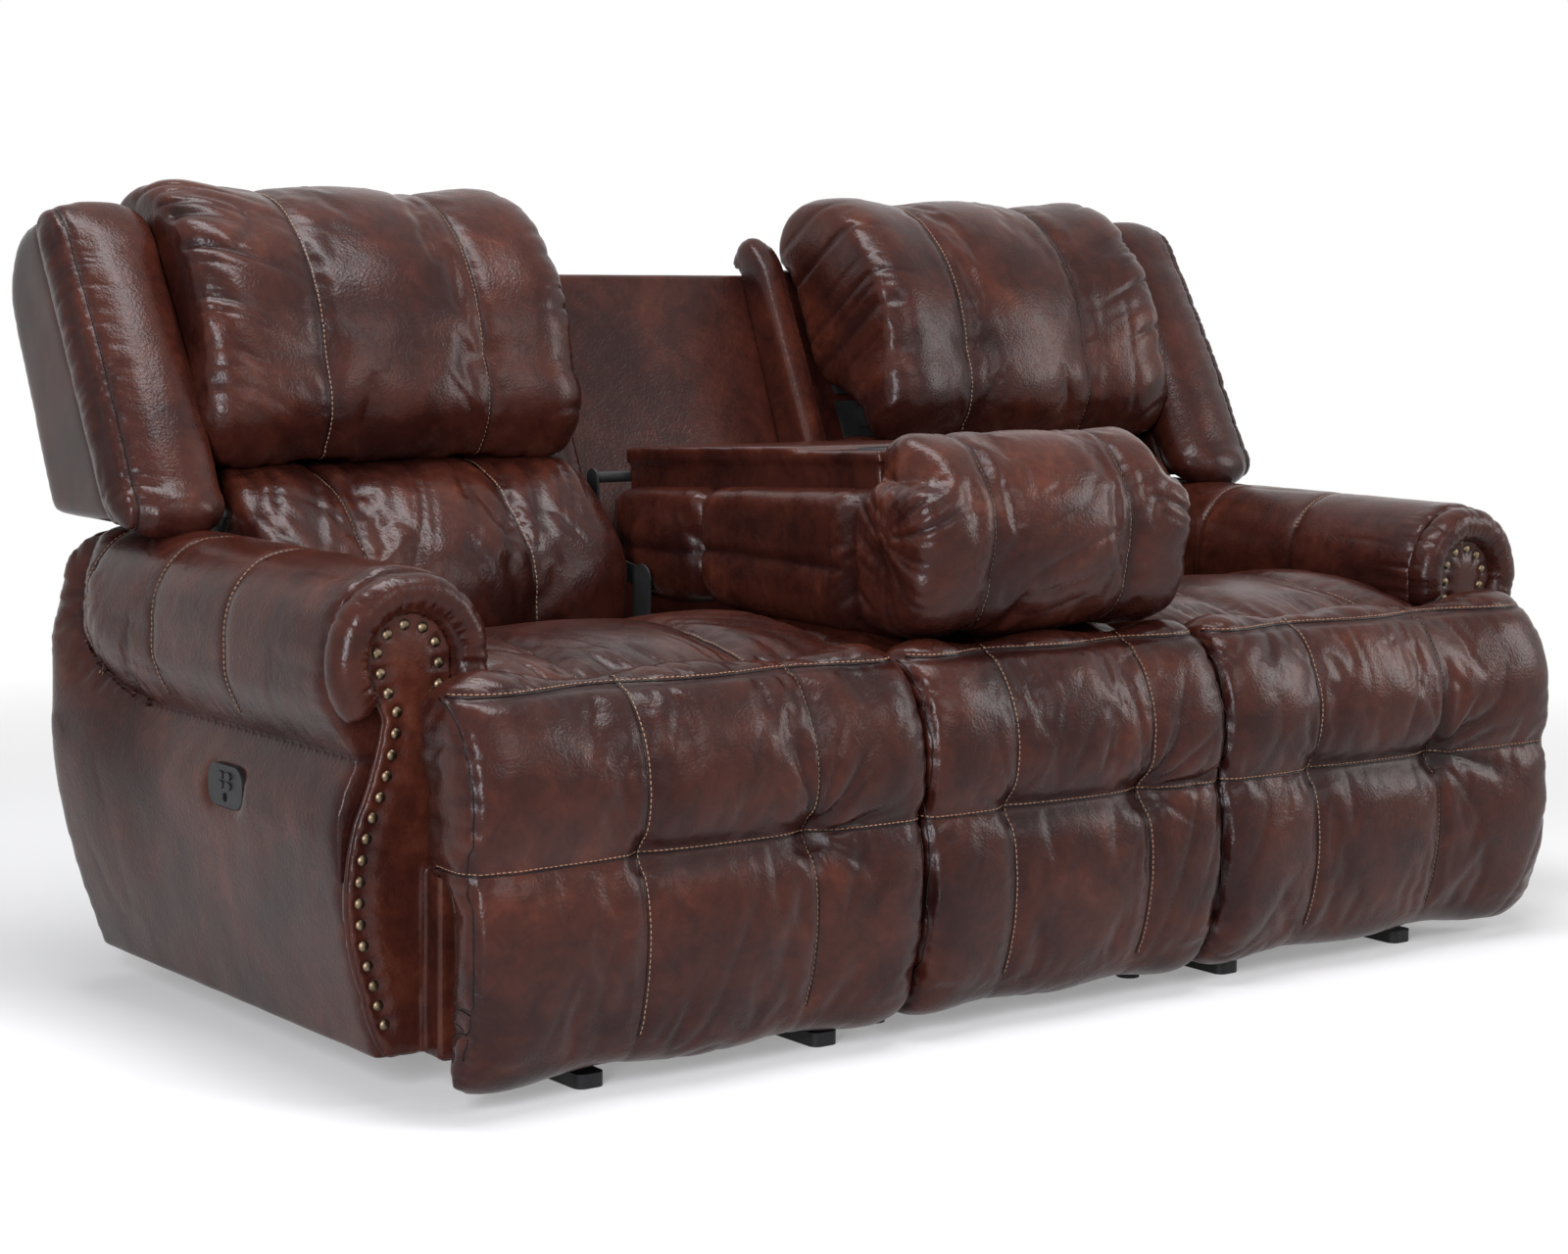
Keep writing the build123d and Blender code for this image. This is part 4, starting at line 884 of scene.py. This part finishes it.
def pillows():
    pillow = even_copy("head_pillow_right", "headrest_pillow_right", size=voxel, rounds=12)
    low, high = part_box("headrest_pillow_right")
    swell(pillow, back_held(pillow, low, high), spare=0.012, cap=8 * mm)
    co = points(pillow)
    underside = ramp(co[:, 2], 860 * mm, 760 * mm) * ramp(co[:, 1], 360 * mm, 260 * mm)
    puff(pillow, underside * 15 * mm)
    fit_width(pillow, low.x + 2 * mm)
    refine(pillow)
    for piece, side, sign, seams, seed in both_sides(pillow, "head_pillow", (33, 38)):
        skin = Skin(piece, seed)
        x, y, z = skin.co.T
        front = ramp(-skin.no[:, 1] + skin.no[:, 2], -0.2, 0.3)
        sewn_seams(skin, seams, front, z, (2.4 * mm, 13 * mm), (1.0 * mm, 28 * mm, 30 * mm))
        round_end = y * 0.75 + z
        outer, inner = np.abs(np.abs(x) - high.x), np.abs(np.abs(x) - low.x)
        upper = 0.4 + 0.6 * ramp(z, 800 * mm, 900 * mm)
        skin.gathers(round_end, outer, upper, height=9.0 * mm, wave=52 * mm, reach=120 * mm, slant=0.5)
        skin.gathers(round_end, inner, 1.0, height=4.0 * mm, wave=40 * mm, reach=60 * mm, slant=0.3)
        by_end, foot = ramp(outer, 200 * mm, 40 * mm) * front, ramp(z, 820 * mm, 720 * mm)
        skin.folds((0.25 * sign, 0.3, -1), by_end, height=5.0 * mm, wave=44 * mm, long=170 * mm)
        skin.folds((0.9, 0.2, 0.5 * sign), foot, height=2.0 * mm, wave=36 * mm, long=150 * mm)
        skin.dapple()
        skin.press()
        dress(piece, f"headrest_{side}", f"headrest_pillow_{side}")
        sew(piece, planes("x", seams, lambda p: p[1] < 500 * mm))


def wings():
    """Fat rolled wings with a welt where their front meets the side band, and the backs' outsides."""
    wing = even_copy("wing_right", "wing_pad_right", size=7 * mm, rounds=36)
    low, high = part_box("wing_pad_right")
    middle, half = (low.x + high.x) / 2, (high.x - low.x) / 2
    x, y, z = points(wing).T
    no = normals(wing)
    front = ramp(no[:, 1], 0.3, -0.4)
    crown = 1 - np.clip(np.abs(x - middle) / half, 0, 1) ** 2.4
    below_top = ramp(z, high.z + 10 * mm, high.z - 100 * mm)
    band = ramp(x, high.x - 30 * mm, high.x) * ramp(no[:, 1], 0.8, 0.2)
    puff(wing, (front * crown * (6 + 15 * below_top) + 8 + 9 * band) * mm)
    refine(wing)
    for piece, side, sign, _, seed in both_sides(wing, "wing", (43, 48)):
        skin = Skin(piece, seed)
        x, y, z = skin.co.T
        welt = np.abs(np.abs(np.abs(x) - high.x) - welt_in)
        skin.gathers(z + y, welt, 1.0, height=2.0 * mm, wave=26 * mm, reach=30 * mm, slant=0.5)
        skin.groove(welt, ramp(skin.no[:, 1], 0.7, 0.2), depth=2.0 * mm, width=8 * mm)
        skin.folds((0.2, 0.4, 1), 1.0, height=1.8 * mm, wave=44 * mm, long=200 * mm)
        skin.dapple()
        skin.press()
        dress(piece, f"back_{side}", f"wing_pad_{side}")
        # the welt's seam gets only the dark cord of painted shade, with no thread
        sew(piece, planes("x", [sign * (high.x - welt_in)], lambda p: p[1] < 440 * mm), ())
        shell = even_copy(f"outside_back_{side}", f"back_shell_{side}", size=8 * mm, rounds=16)
        puff(shell, 2.5 * mm)
        skin = Skin(shell, 51)
        skin.dapple()
        skin.press()
        dress(shell, f"back_{side}", f"back_shell_{side}", finish=hide_dark)


# ---- Arms ----
def crease_line():
    """The crease under an arm's roll in side view: level, then two arcs that curl up, then upright."""
    level_start, level_end, top = -360 * mm, 120 * mm, 620 * mm
    slow_radius, quick_radius = 332 * mm, 117 * mm
    quick_middle = (221 * mm, 546.2 * mm)
    level = [(y, crease_z) for y in np.arange(level_start, level_end, crease_pitch)]
    slow = [(level_end + slow_radius * sin(a), crease_z + slow_radius * (1 - cos(a)))
            for a in np.radians(np.arange(0, 28, 2))]
    quick = [(quick_middle[0] + quick_radius * sin(a), quick_middle[1] - quick_radius * cos(a))
             for a in np.radians(np.arange(28, 90, 4))]
    rise = [(quick_middle[0] + quick_radius, z) for z in np.arange(546 * mm, top, crease_pitch)]
    return np.array(level + slow + quick + rise)


def nearest_in(places):
    """A search tree over a list of places."""
    tree = KDTree(len(places))
    for i, place in enumerate(places):
        tree.insert(place, i)
    tree.balance()
    return tree


def crease_place(y, z):
    """Distance from the crease and the place along it, for points in side view."""
    tree = nearest_in([(a, b, 0) for a, b in crease_line()])
    found = [tree.find((a, b, 0)) for a, b in zip(y, z)]
    return np.array([f[2] for f in found]), np.array([f[1] for f in found]) * crease_pitch


def arm_cover(side):
    """An arm's roll with its crease, its cross seams and the gathers behind its rim."""
    arm = even_copy(f"arm_cover_{side}", f"arm_{side}", size=8 * mm, rounds=5)
    x, y, z = points(arm).T
    outer = ramp(np.abs(x), 920 * mm, 970 * mm)
    belly = ramp(y, 80 * mm, 360 * mm) * ramp(z, 60 * mm, 340 * mm) * ramp(z, 600 * mm, 460 * mm)
    puff(arm, (22 * outer * belly + 4 * outer * ramp(z, 420 * mm, 480 * mm)) * mm)
    refine(arm)
    skin = Skin(arm, {"right": 61, "left": 66}[side])
    x, y, z = skin.co.T
    out = ramp(np.abs(x), 930 * mm, 960 * mm)
    off, along = crease_place(y, z)
    above = out * ramp(z, 400 * mm, 420 * mm) * (0.35 + 0.65 * ramp(y, 50 * mm, 200 * mm))
    skin.gathers(along, off, above, height=4.0 * mm, wave=30 * mm, reach=80 * mm, slant=0.3)
    skin.groove(off, out, depth=2.5 * mm, width=10 * mm, tight=3.5 * mm)
    roll, foot = ramp(z, 420 * mm, 470 * mm), ramp(z, 360 * mm, 300 * mm)
    for place in arm_seams:
        skin.groove(np.abs(y - place), roll, depth=1.6 * mm, width=11 * mm, tight=1.8 * mm)
    round_roll = np.arctan2(z - arm_axis[1], np.abs(x) - arm_axis[0]) * arm_radius
    at_rim, at_seam = np.abs(y - arm_front), np.abs(y - arm_seams[1])
    skin.gathers(round_roll, at_rim, roll, height=3.2 * mm, wave=22 * mm, reach=60 * mm)
    skin.gathers(round_roll, at_seam, roll, height=1.6 * mm, wave=30 * mm, reach=40 * mm)
    skin.folds((0, 1, 0.15), roll, height=2.0 * mm, wave=40 * mm, long=220 * mm)
    skin.folds((0, 0.3, 1), foot, height=0.8 * mm, wave=90 * mm, long=300 * mm)
    skin.dapple()
    skin.press()
    dress(arm, "base", f"arm_{side}")
    sew(arm, planes("y", arm_seams, lambda p: p[2] > 430 * mm and abs(p[0]) > 820 * mm),
        (-2.8 * mm, 2.8 * mm))


def arm_rim(side, sign):
    """The gathered rim round the front of an arm."""
    rim = even_copy(f"arm_rim_{side}", f"arm_ring_{side}", size=5 * mm, rounds=8)
    puff(rim, 5 * mm)
    refine(rim)
    skin = Skin(rim, {"right": 71, "left": 74}[side])
    x, y, z = skin.co.T
    across, above = sign * x - arm_axis[0], z - arm_axis[1]
    round_rim, out = np.arctan2(above, across) * rim_radius, np.hypot(above, across)
    skin.gathers(round_rim, np.abs(out - rim_inner), 1.0, height=2.6 * mm, wave=13 * mm, reach=26 * mm)
    skin.gathers(round_rim, np.abs(out - rim_outer), 1.0, height=4.6 * mm, wave=34 * mm, reach=40 * mm)
    skin.dapple()
    skin.press()
    dress(rim, "base", f"arm_ring_{side}")


def arms():
    for side, sign in sides.items():
        arm_cover(side)
        arm_rim(side, sign)


def nail_spots():
    """Middles of the nail heads on the face panels."""
    mesh = bmesh.new()
    mesh.from_mesh(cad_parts["nailheads"].data)
    bmesh.ops.remove_doubles(mesh, verts=mesh.verts, dist=weld)
    left, spots = set(mesh.verts), []
    while left:
        island, edge = [], [left.pop()]
        while edge:
            vert = edge.pop()
            island.append(vert.co.copy())
            for other in (e.other_vert(vert) for e in vert.link_edges):
                if other in left:
                    left.remove(other)
                    edge.append(other)
        middle = sum(island, Vector()) / len(island)
        spots.append((middle.x, panel_front, middle.z))
    mesh.free()
    return spots


def nail_domes(spots, tree):
    """Domed nail heads that sit on the panels' leather."""
    # rings of a dome below its top, as shares of the radius and the height
    profile = [(0.38, 0.93), (0.70, 0.70), (0.91, 0.38), (1.0, 0.10), (0.97, -0.25)]
    turns = 14
    verts, faces = [], []
    for x, y, z in spots:
        near_spot = tree.find_nearest(Vector((x, y - 2 * mm, z)), 0.03)[0]
        y = near_spot.y if near_spot else y
        base = len(verts)
        verts.append((x, y - nail_height, z))
        for wide, high in profile:
            for k in range(turns):
                a, r = 2 * pi * k / turns, wide * nail_radius
                verts.append((x + cos(a) * r, y - high * nail_height, z + sin(a) * r))
        for k in range(turns):
            n = (k + 1) % turns
            faces.append((base, base + 1 + k, base + 1 + n))
            for ring in range(len(profile) - 1):
                o = base + 1 + ring * turns
                faces.append((o + k, o + turns + k, o + turns + n, o + n))
    return built("nail_domes", verts, faces)


def face_panels():
    """Nailed panels with a piped edge, the posts at their feet and antique nail domes."""
    panel = even_copy("face_panels", "arm_front_panels", size=4 * mm, rounds=3)
    skin = Skin(panel, 77)
    skin.folds((0.3, 0, 1), 1.0, height=1.2 * mm, wave=34 * mm, long=180 * mm)
    skin.dapple(height=0.8 * mm, size=40 * mm)
    spots = nail_spots()
    tree = nearest_in(spots)
    gap = np.array([tree.find(tuple(p))[2] for p in skin.co])
    padding = 4.5 - 6.0 * np.exp(-(gap / nail_dimple) ** 2)
    skin.lift += ramp(skin.no[:, 1], -0.2, -0.8) * mm * padding
    skin.press()
    dress(panel, "base", "arm_front_panels")
    cuts = cut_lines(panel, (0, panel_front + 6 * mm, 0), (0, 1, 0))
    outlines = [line for line in cuts if np.ptp(line[:, 2]) > 300 * mm]    # and not the posts
    for number, line in enumerate(outlines, start=1):
        loop = resampled(np.vstack([line, line[:1]]), 5 * mm)
        welt = tube(f"face_panel_welt_{number}", loop, welt_radius, 8)
        welt.data.materials.append(hide_finish)
        welt.parent = panel
    domes = nail_domes(spots, surface_of(panel))
    domes.data.materials.append(nail_finish)
    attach(domes, "base")
    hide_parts("nailheads")


# ---- Centre ----
def between_ears(piece, node):
    """Keeps a console cushion clear of the pivot plates beside it."""
    low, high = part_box(node)
    fit_width(piece, low.x + 1.5 * mm, high.x - 1.5 * mm)


def console_cushion():
    cushion = even_copy("console_lumbar", "console_cushion", size=8 * mm, rounds=42)
    puff(cushion, 9 * mm)
    held = np.where(normals(cushion)[:, 2] > 0.6, 1.0, 0.0)
    swell(cushion, seams_held(held, points(cushion)[:, 0], centre_seams), spare=0.02, cap=8 * mm)
    between_ears(cushion, "console_cushion")
    refine(cushion)
    skin = Skin(cushion, 81)
    x, y, z = skin.co.T
    end = ramp(np.abs(x), 190 * mm, 225 * mm)
    for seam in centre_seams:
        skin.groove(np.abs(x - seam), 1.0, depth=2.2 * mm, width=12 * mm)
    off = np.abs(z - console_seam_z)
    skin.gathers(y, off, end, height=3.0 * mm, wave=30 * mm, reach=45 * mm)
    skin.groove(off, end, depth=2.6 * mm, width=10 * mm)
    skin.dapple()
    skin.press()
    dress(cushion, "console", "console_cushion")


def console_roll():
    """The console's head roll: a fat front, gathered at its ends, that narrows to its flat rear."""
    roll = even_copy("console_head_roll", "console_pillow", size=8 * mm, rounds=45)
    puff(roll, 10 * mm)
    co, no = points(roll), normals(roll)
    held = np.where((no[:, 2] > 0.5) & (co[:, 1] > roll_rear), 1.0, 0.0)
    held = np.maximum(held, np.where(no[:, 1] > 0.7, 1.0, 0.0))
    held = np.maximum(held, np.where(np.abs(co[:, 0]) > 232 * mm, 0.7, 0))
    swell(roll, seams_held(held, co[:, 0], centre_seams), spare=0.014, cap=8 * mm)
    between_ears(roll, "console_pillow")
    refine(roll)
    skin = Skin(roll, 84)
    x, y, z = skin.co.T
    front = ramp(y, -270 * mm, -330 * mm)
    end = ramp(np.abs(x), 190 * mm, 225 * mm)
    for seam in centre_seams:
        off = np.abs(x - seam)
        skin.groove(off, 1.0, depth=2.4 * mm, width=13 * mm)
        skin.gathers(z, off, front, height=1.0 * mm, wave=28 * mm, reach=30 * mm)
    off, flat_end = np.abs(z - roll_seam_z), end * ramp(y, roll_rear, -300 * mm)
    skin.groove(off, flat_end, depth=2.6 * mm, width=10 * mm)
    skin.gathers(y, off, flat_end, height=2.6 * mm, wave=28 * mm, reach=45 * mm)
    round_roll = np.arctan2(z - roll_axis[1], y - roll_axis[0]) * roll_radius
    skin.gathers(round_roll, np.abs(np.abs(x) - 250 * mm), front, height=6.0 * mm, wave=40 * mm,
                 reach=80 * mm, slant=0.4)
    skin.gathers(z, np.abs(y + 345 * mm), end, height=7.0 * mm, wave=34 * mm, reach=60 * mm, slant=0.6)
    skin.lift -= 8 * mm * near(y, -335 * mm, 18 * mm) * ramp(np.abs(x), 170 * mm, 225 * mm)
    skin.folds((1, 0, 0.4), front, height=2.2 * mm, wave=38 * mm, long=180 * mm)
    skin.dapple()
    skin.press()
    dress(roll, "console", "console_pillow")
    sew(roll, planes("x", centre_seams, lambda p: p[1] < roll_rear))


def centre_covers():
    """Leather over the table's cap, the rear panel and the inner wings."""
    covers = (("table_cover", "console_table", "console", 4.5 * mm, 91, 0.6 * mm, 60 * mm),
              ("rear_panel_cover", "centre_rear_panel", "base", 7 * mm, 93, 0.8 * mm, 70 * mm))
    for name, node, body, size, seed, height, wave in covers:
        cover = even_copy(name, node, size=size, rounds=3)
        skin = Skin(cover, seed)
        skin.dapple(height=height, size=wave)
        skin.press()
        dress(cover, body, node)

    inner = even_copy("inner_wing_covers", "inner_wings", size=6 * mm, rounds=6)
    outward = normals(inner)[:, 0] * np.sign(points(inner)[:, 0])
    puff(inner, 2.5 * mm * ramp(outward, -0.9, -0.3))    # only away from the console's opening
    skin = Skin(inner, 95)
    x = skin.co[:, 0]
    skin.groove(np.abs(np.abs(x) - inner_wing_seam), 1.0, depth=1.5 * mm, width=6 * mm, tight=1.5 * mm)
    skin.folds((0.2, 0.4, 1), 1.0, height=2.4 * mm, wave=30 * mm, long=180 * mm)
    skin.dapple()
    skin.press()
    dress(inner, "base", "inner_wings")


def hardware():
    """Finishes of the nodes that keep their own shape."""
    for node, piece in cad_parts.items():
        if node == "base_boards":
            repaint(node, hide_dark)
        elif node.startswith("footrest_board"):
            repaint(node, board_finish)
        elif node in ("feet", "switch_plates", "cup_holders") or node.startswith("button"):
            repaint(node, plastic_finish)
        elif not piece.hide_render:
            repaint(node, steel_finish)


# ---- Studio ----
def seen_rays(tree):
    """One where the camera sees a surface, straight, in a reflection or through a clear piece."""
    rays = tree.nodes.new("ShaderNodeLightPath")
    straight, mirrored, through = (rays.outputs[f"Is {kind} Ray"]
                                   for kind in ("Camera", "Glossy", "Transmission"))
    return math_node(tree, "MAXIMUM", straight, math_node(tree, "MAXIMUM", mirrored, through))


def floor():
    """A pale floor that turns white away from the sofa and keeps its shadow."""
    reach = 40.0
    mesh = bpy.data.meshes.new("floor")
    mesh.from_pydata([(-reach, -reach, 0), (reach, -reach, 0), (reach, reach, 0), (-reach, reach, 0)],
                     [], [(0, 1, 2, 3)])
    plane = link(bpy.data.objects.new("floor", mesh))
    material, tree, shader = new_material("pale_floor")
    shader.inputs["Base Color"].default_value = (0.72, 0.72, 0.725, 1)
    shader.inputs["Roughness"].default_value = 0.85
    shader.inputs["Specular IOR Level"].default_value = 0.1
    place = tree.nodes.new("ShaderNodeTexCoord").outputs["Object"]
    length = add(tree, "ShaderNodeVectorMath", operation="LENGTH")
    tree.links.new(place, length.inputs[0])
    far = add(tree, "ShaderNodeMapRange")
    far.inputs["From Min"].default_value = 1.5
    far.inputs["From Max"].default_value = 3.2
    tree.links.new(length.outputs["Value"], far.inputs["Value"])
    seen = seen_rays(tree)
    white = add(tree, "ShaderNodeEmission", Strength=1.0)
    lift = add(tree, "ShaderNodeEmission", Strength=0.28)
    both = tree.nodes.new("ShaderNodeAddShader")
    near_floor, mix = (tree.nodes.new("ShaderNodeMixShader") for _ in range(2))
    for socket, source in ((both.inputs[0], shader), (both.inputs[1], lift),
                           (near_floor.inputs[1], shader), (near_floor.inputs[2], both),
                           (mix.inputs[1], near_floor), (mix.inputs[2], white)):
        tree.links.new(source.outputs[0], socket)
    tree.links.new(seen, near_floor.inputs[0])
    tree.links.new(math_node(tree, "MULTIPLY", far.outputs["Result"], seen), mix.inputs[0])
    tree.links.new(mix.outputs[0], tree.nodes["Material Output"].inputs["Surface"])
    mesh.materials.append(material)


def lamp(name, at, aim, size, power, colour=(1, 1, 1)):
    data = bpy.data.lights.new(name, "AREA")
    data.shape = "RECTANGLE"
    data.size, data.size_y = size
    data.energy = power
    data.color = colour
    light = link(bpy.data.objects.new(name, data))
    light.location = at
    light.rotation_euler = (Vector(aim) - Vector(at)).to_track_quat("-Z", "Y").to_euler()


def studio():
    floor()
    world = bpy.data.worlds.new("studio")
    scene.world = world
    world.use_nodes = True
    tree = world.node_tree
    back = tree.nodes["Background"]
    back.inputs["Color"].default_value = (1, 1, 1, 1)
    fill_light = 0.12    # the strength on the object; what the camera sees is 1, white
    shown = math_node(tree, "MULTIPLY", seen_rays(tree), 1 - fill_light)
    tree.links.new(math_node(tree, "ADD", fill_light, shown), back.inputs["Strength"])
    lamp("left_softbox", (-3.3, -2.7, 1.4), (0, -0.3, 0.5), (0.75, 2.0), 135, (0.93, 0.94, 1.0))
    lamp("front_softbox", (0.8, -4.4, 2.9), (0, -0.2, 0.5), (1.8, 1.6), 34)
    lamp("right_softbox", (3.4, -2.4, 1.9), (0.5, -0.1, 0.55), (1.1, 2.0), 50, (1.0, 0.98, 0.97))
    lamp("overhead_softbox", (-0.5, -0.4, 3.3), (0, -0.1, 0.4), (3.0, 0.9), 115, (0.98, 0.98, 1.0))
    scene.view_settings.view_transform = "Standard"


def camera():
    """The photograph's viewpoint."""
    eye = (-2.7236, -3.4977, 0.9974)
    yaw, pitch, roll = radians(37.0), radians(-6.9), radians(0.7)
    right = Vector((cos(yaw), -sin(yaw), 0))
    ahead = Vector((sin(yaw) * cos(pitch), cos(yaw) * cos(pitch), sin(pitch)))
    up = right.cross(ahead)
    across = right * cos(roll) + up * sin(roll)
    above = up * cos(roll) - right * sin(roll)
    data = bpy.data.cameras.new("camera")
    data.lens, data.sensor_width = 72.0, 36.0
    view = link(bpy.data.objects.new("camera", data))
    turn = Matrix((across, above, -ahead)).transposed().to_4x4()
    view.matrix_world = Matrix.Translation(eye) @ turn
    scene.camera = view


front_pads()
seats()
lumbars()
pillows()
wings()
arms()
face_panels()
console_cushion()
console_roll()
centre_covers()
hardware()
studio()
camera()
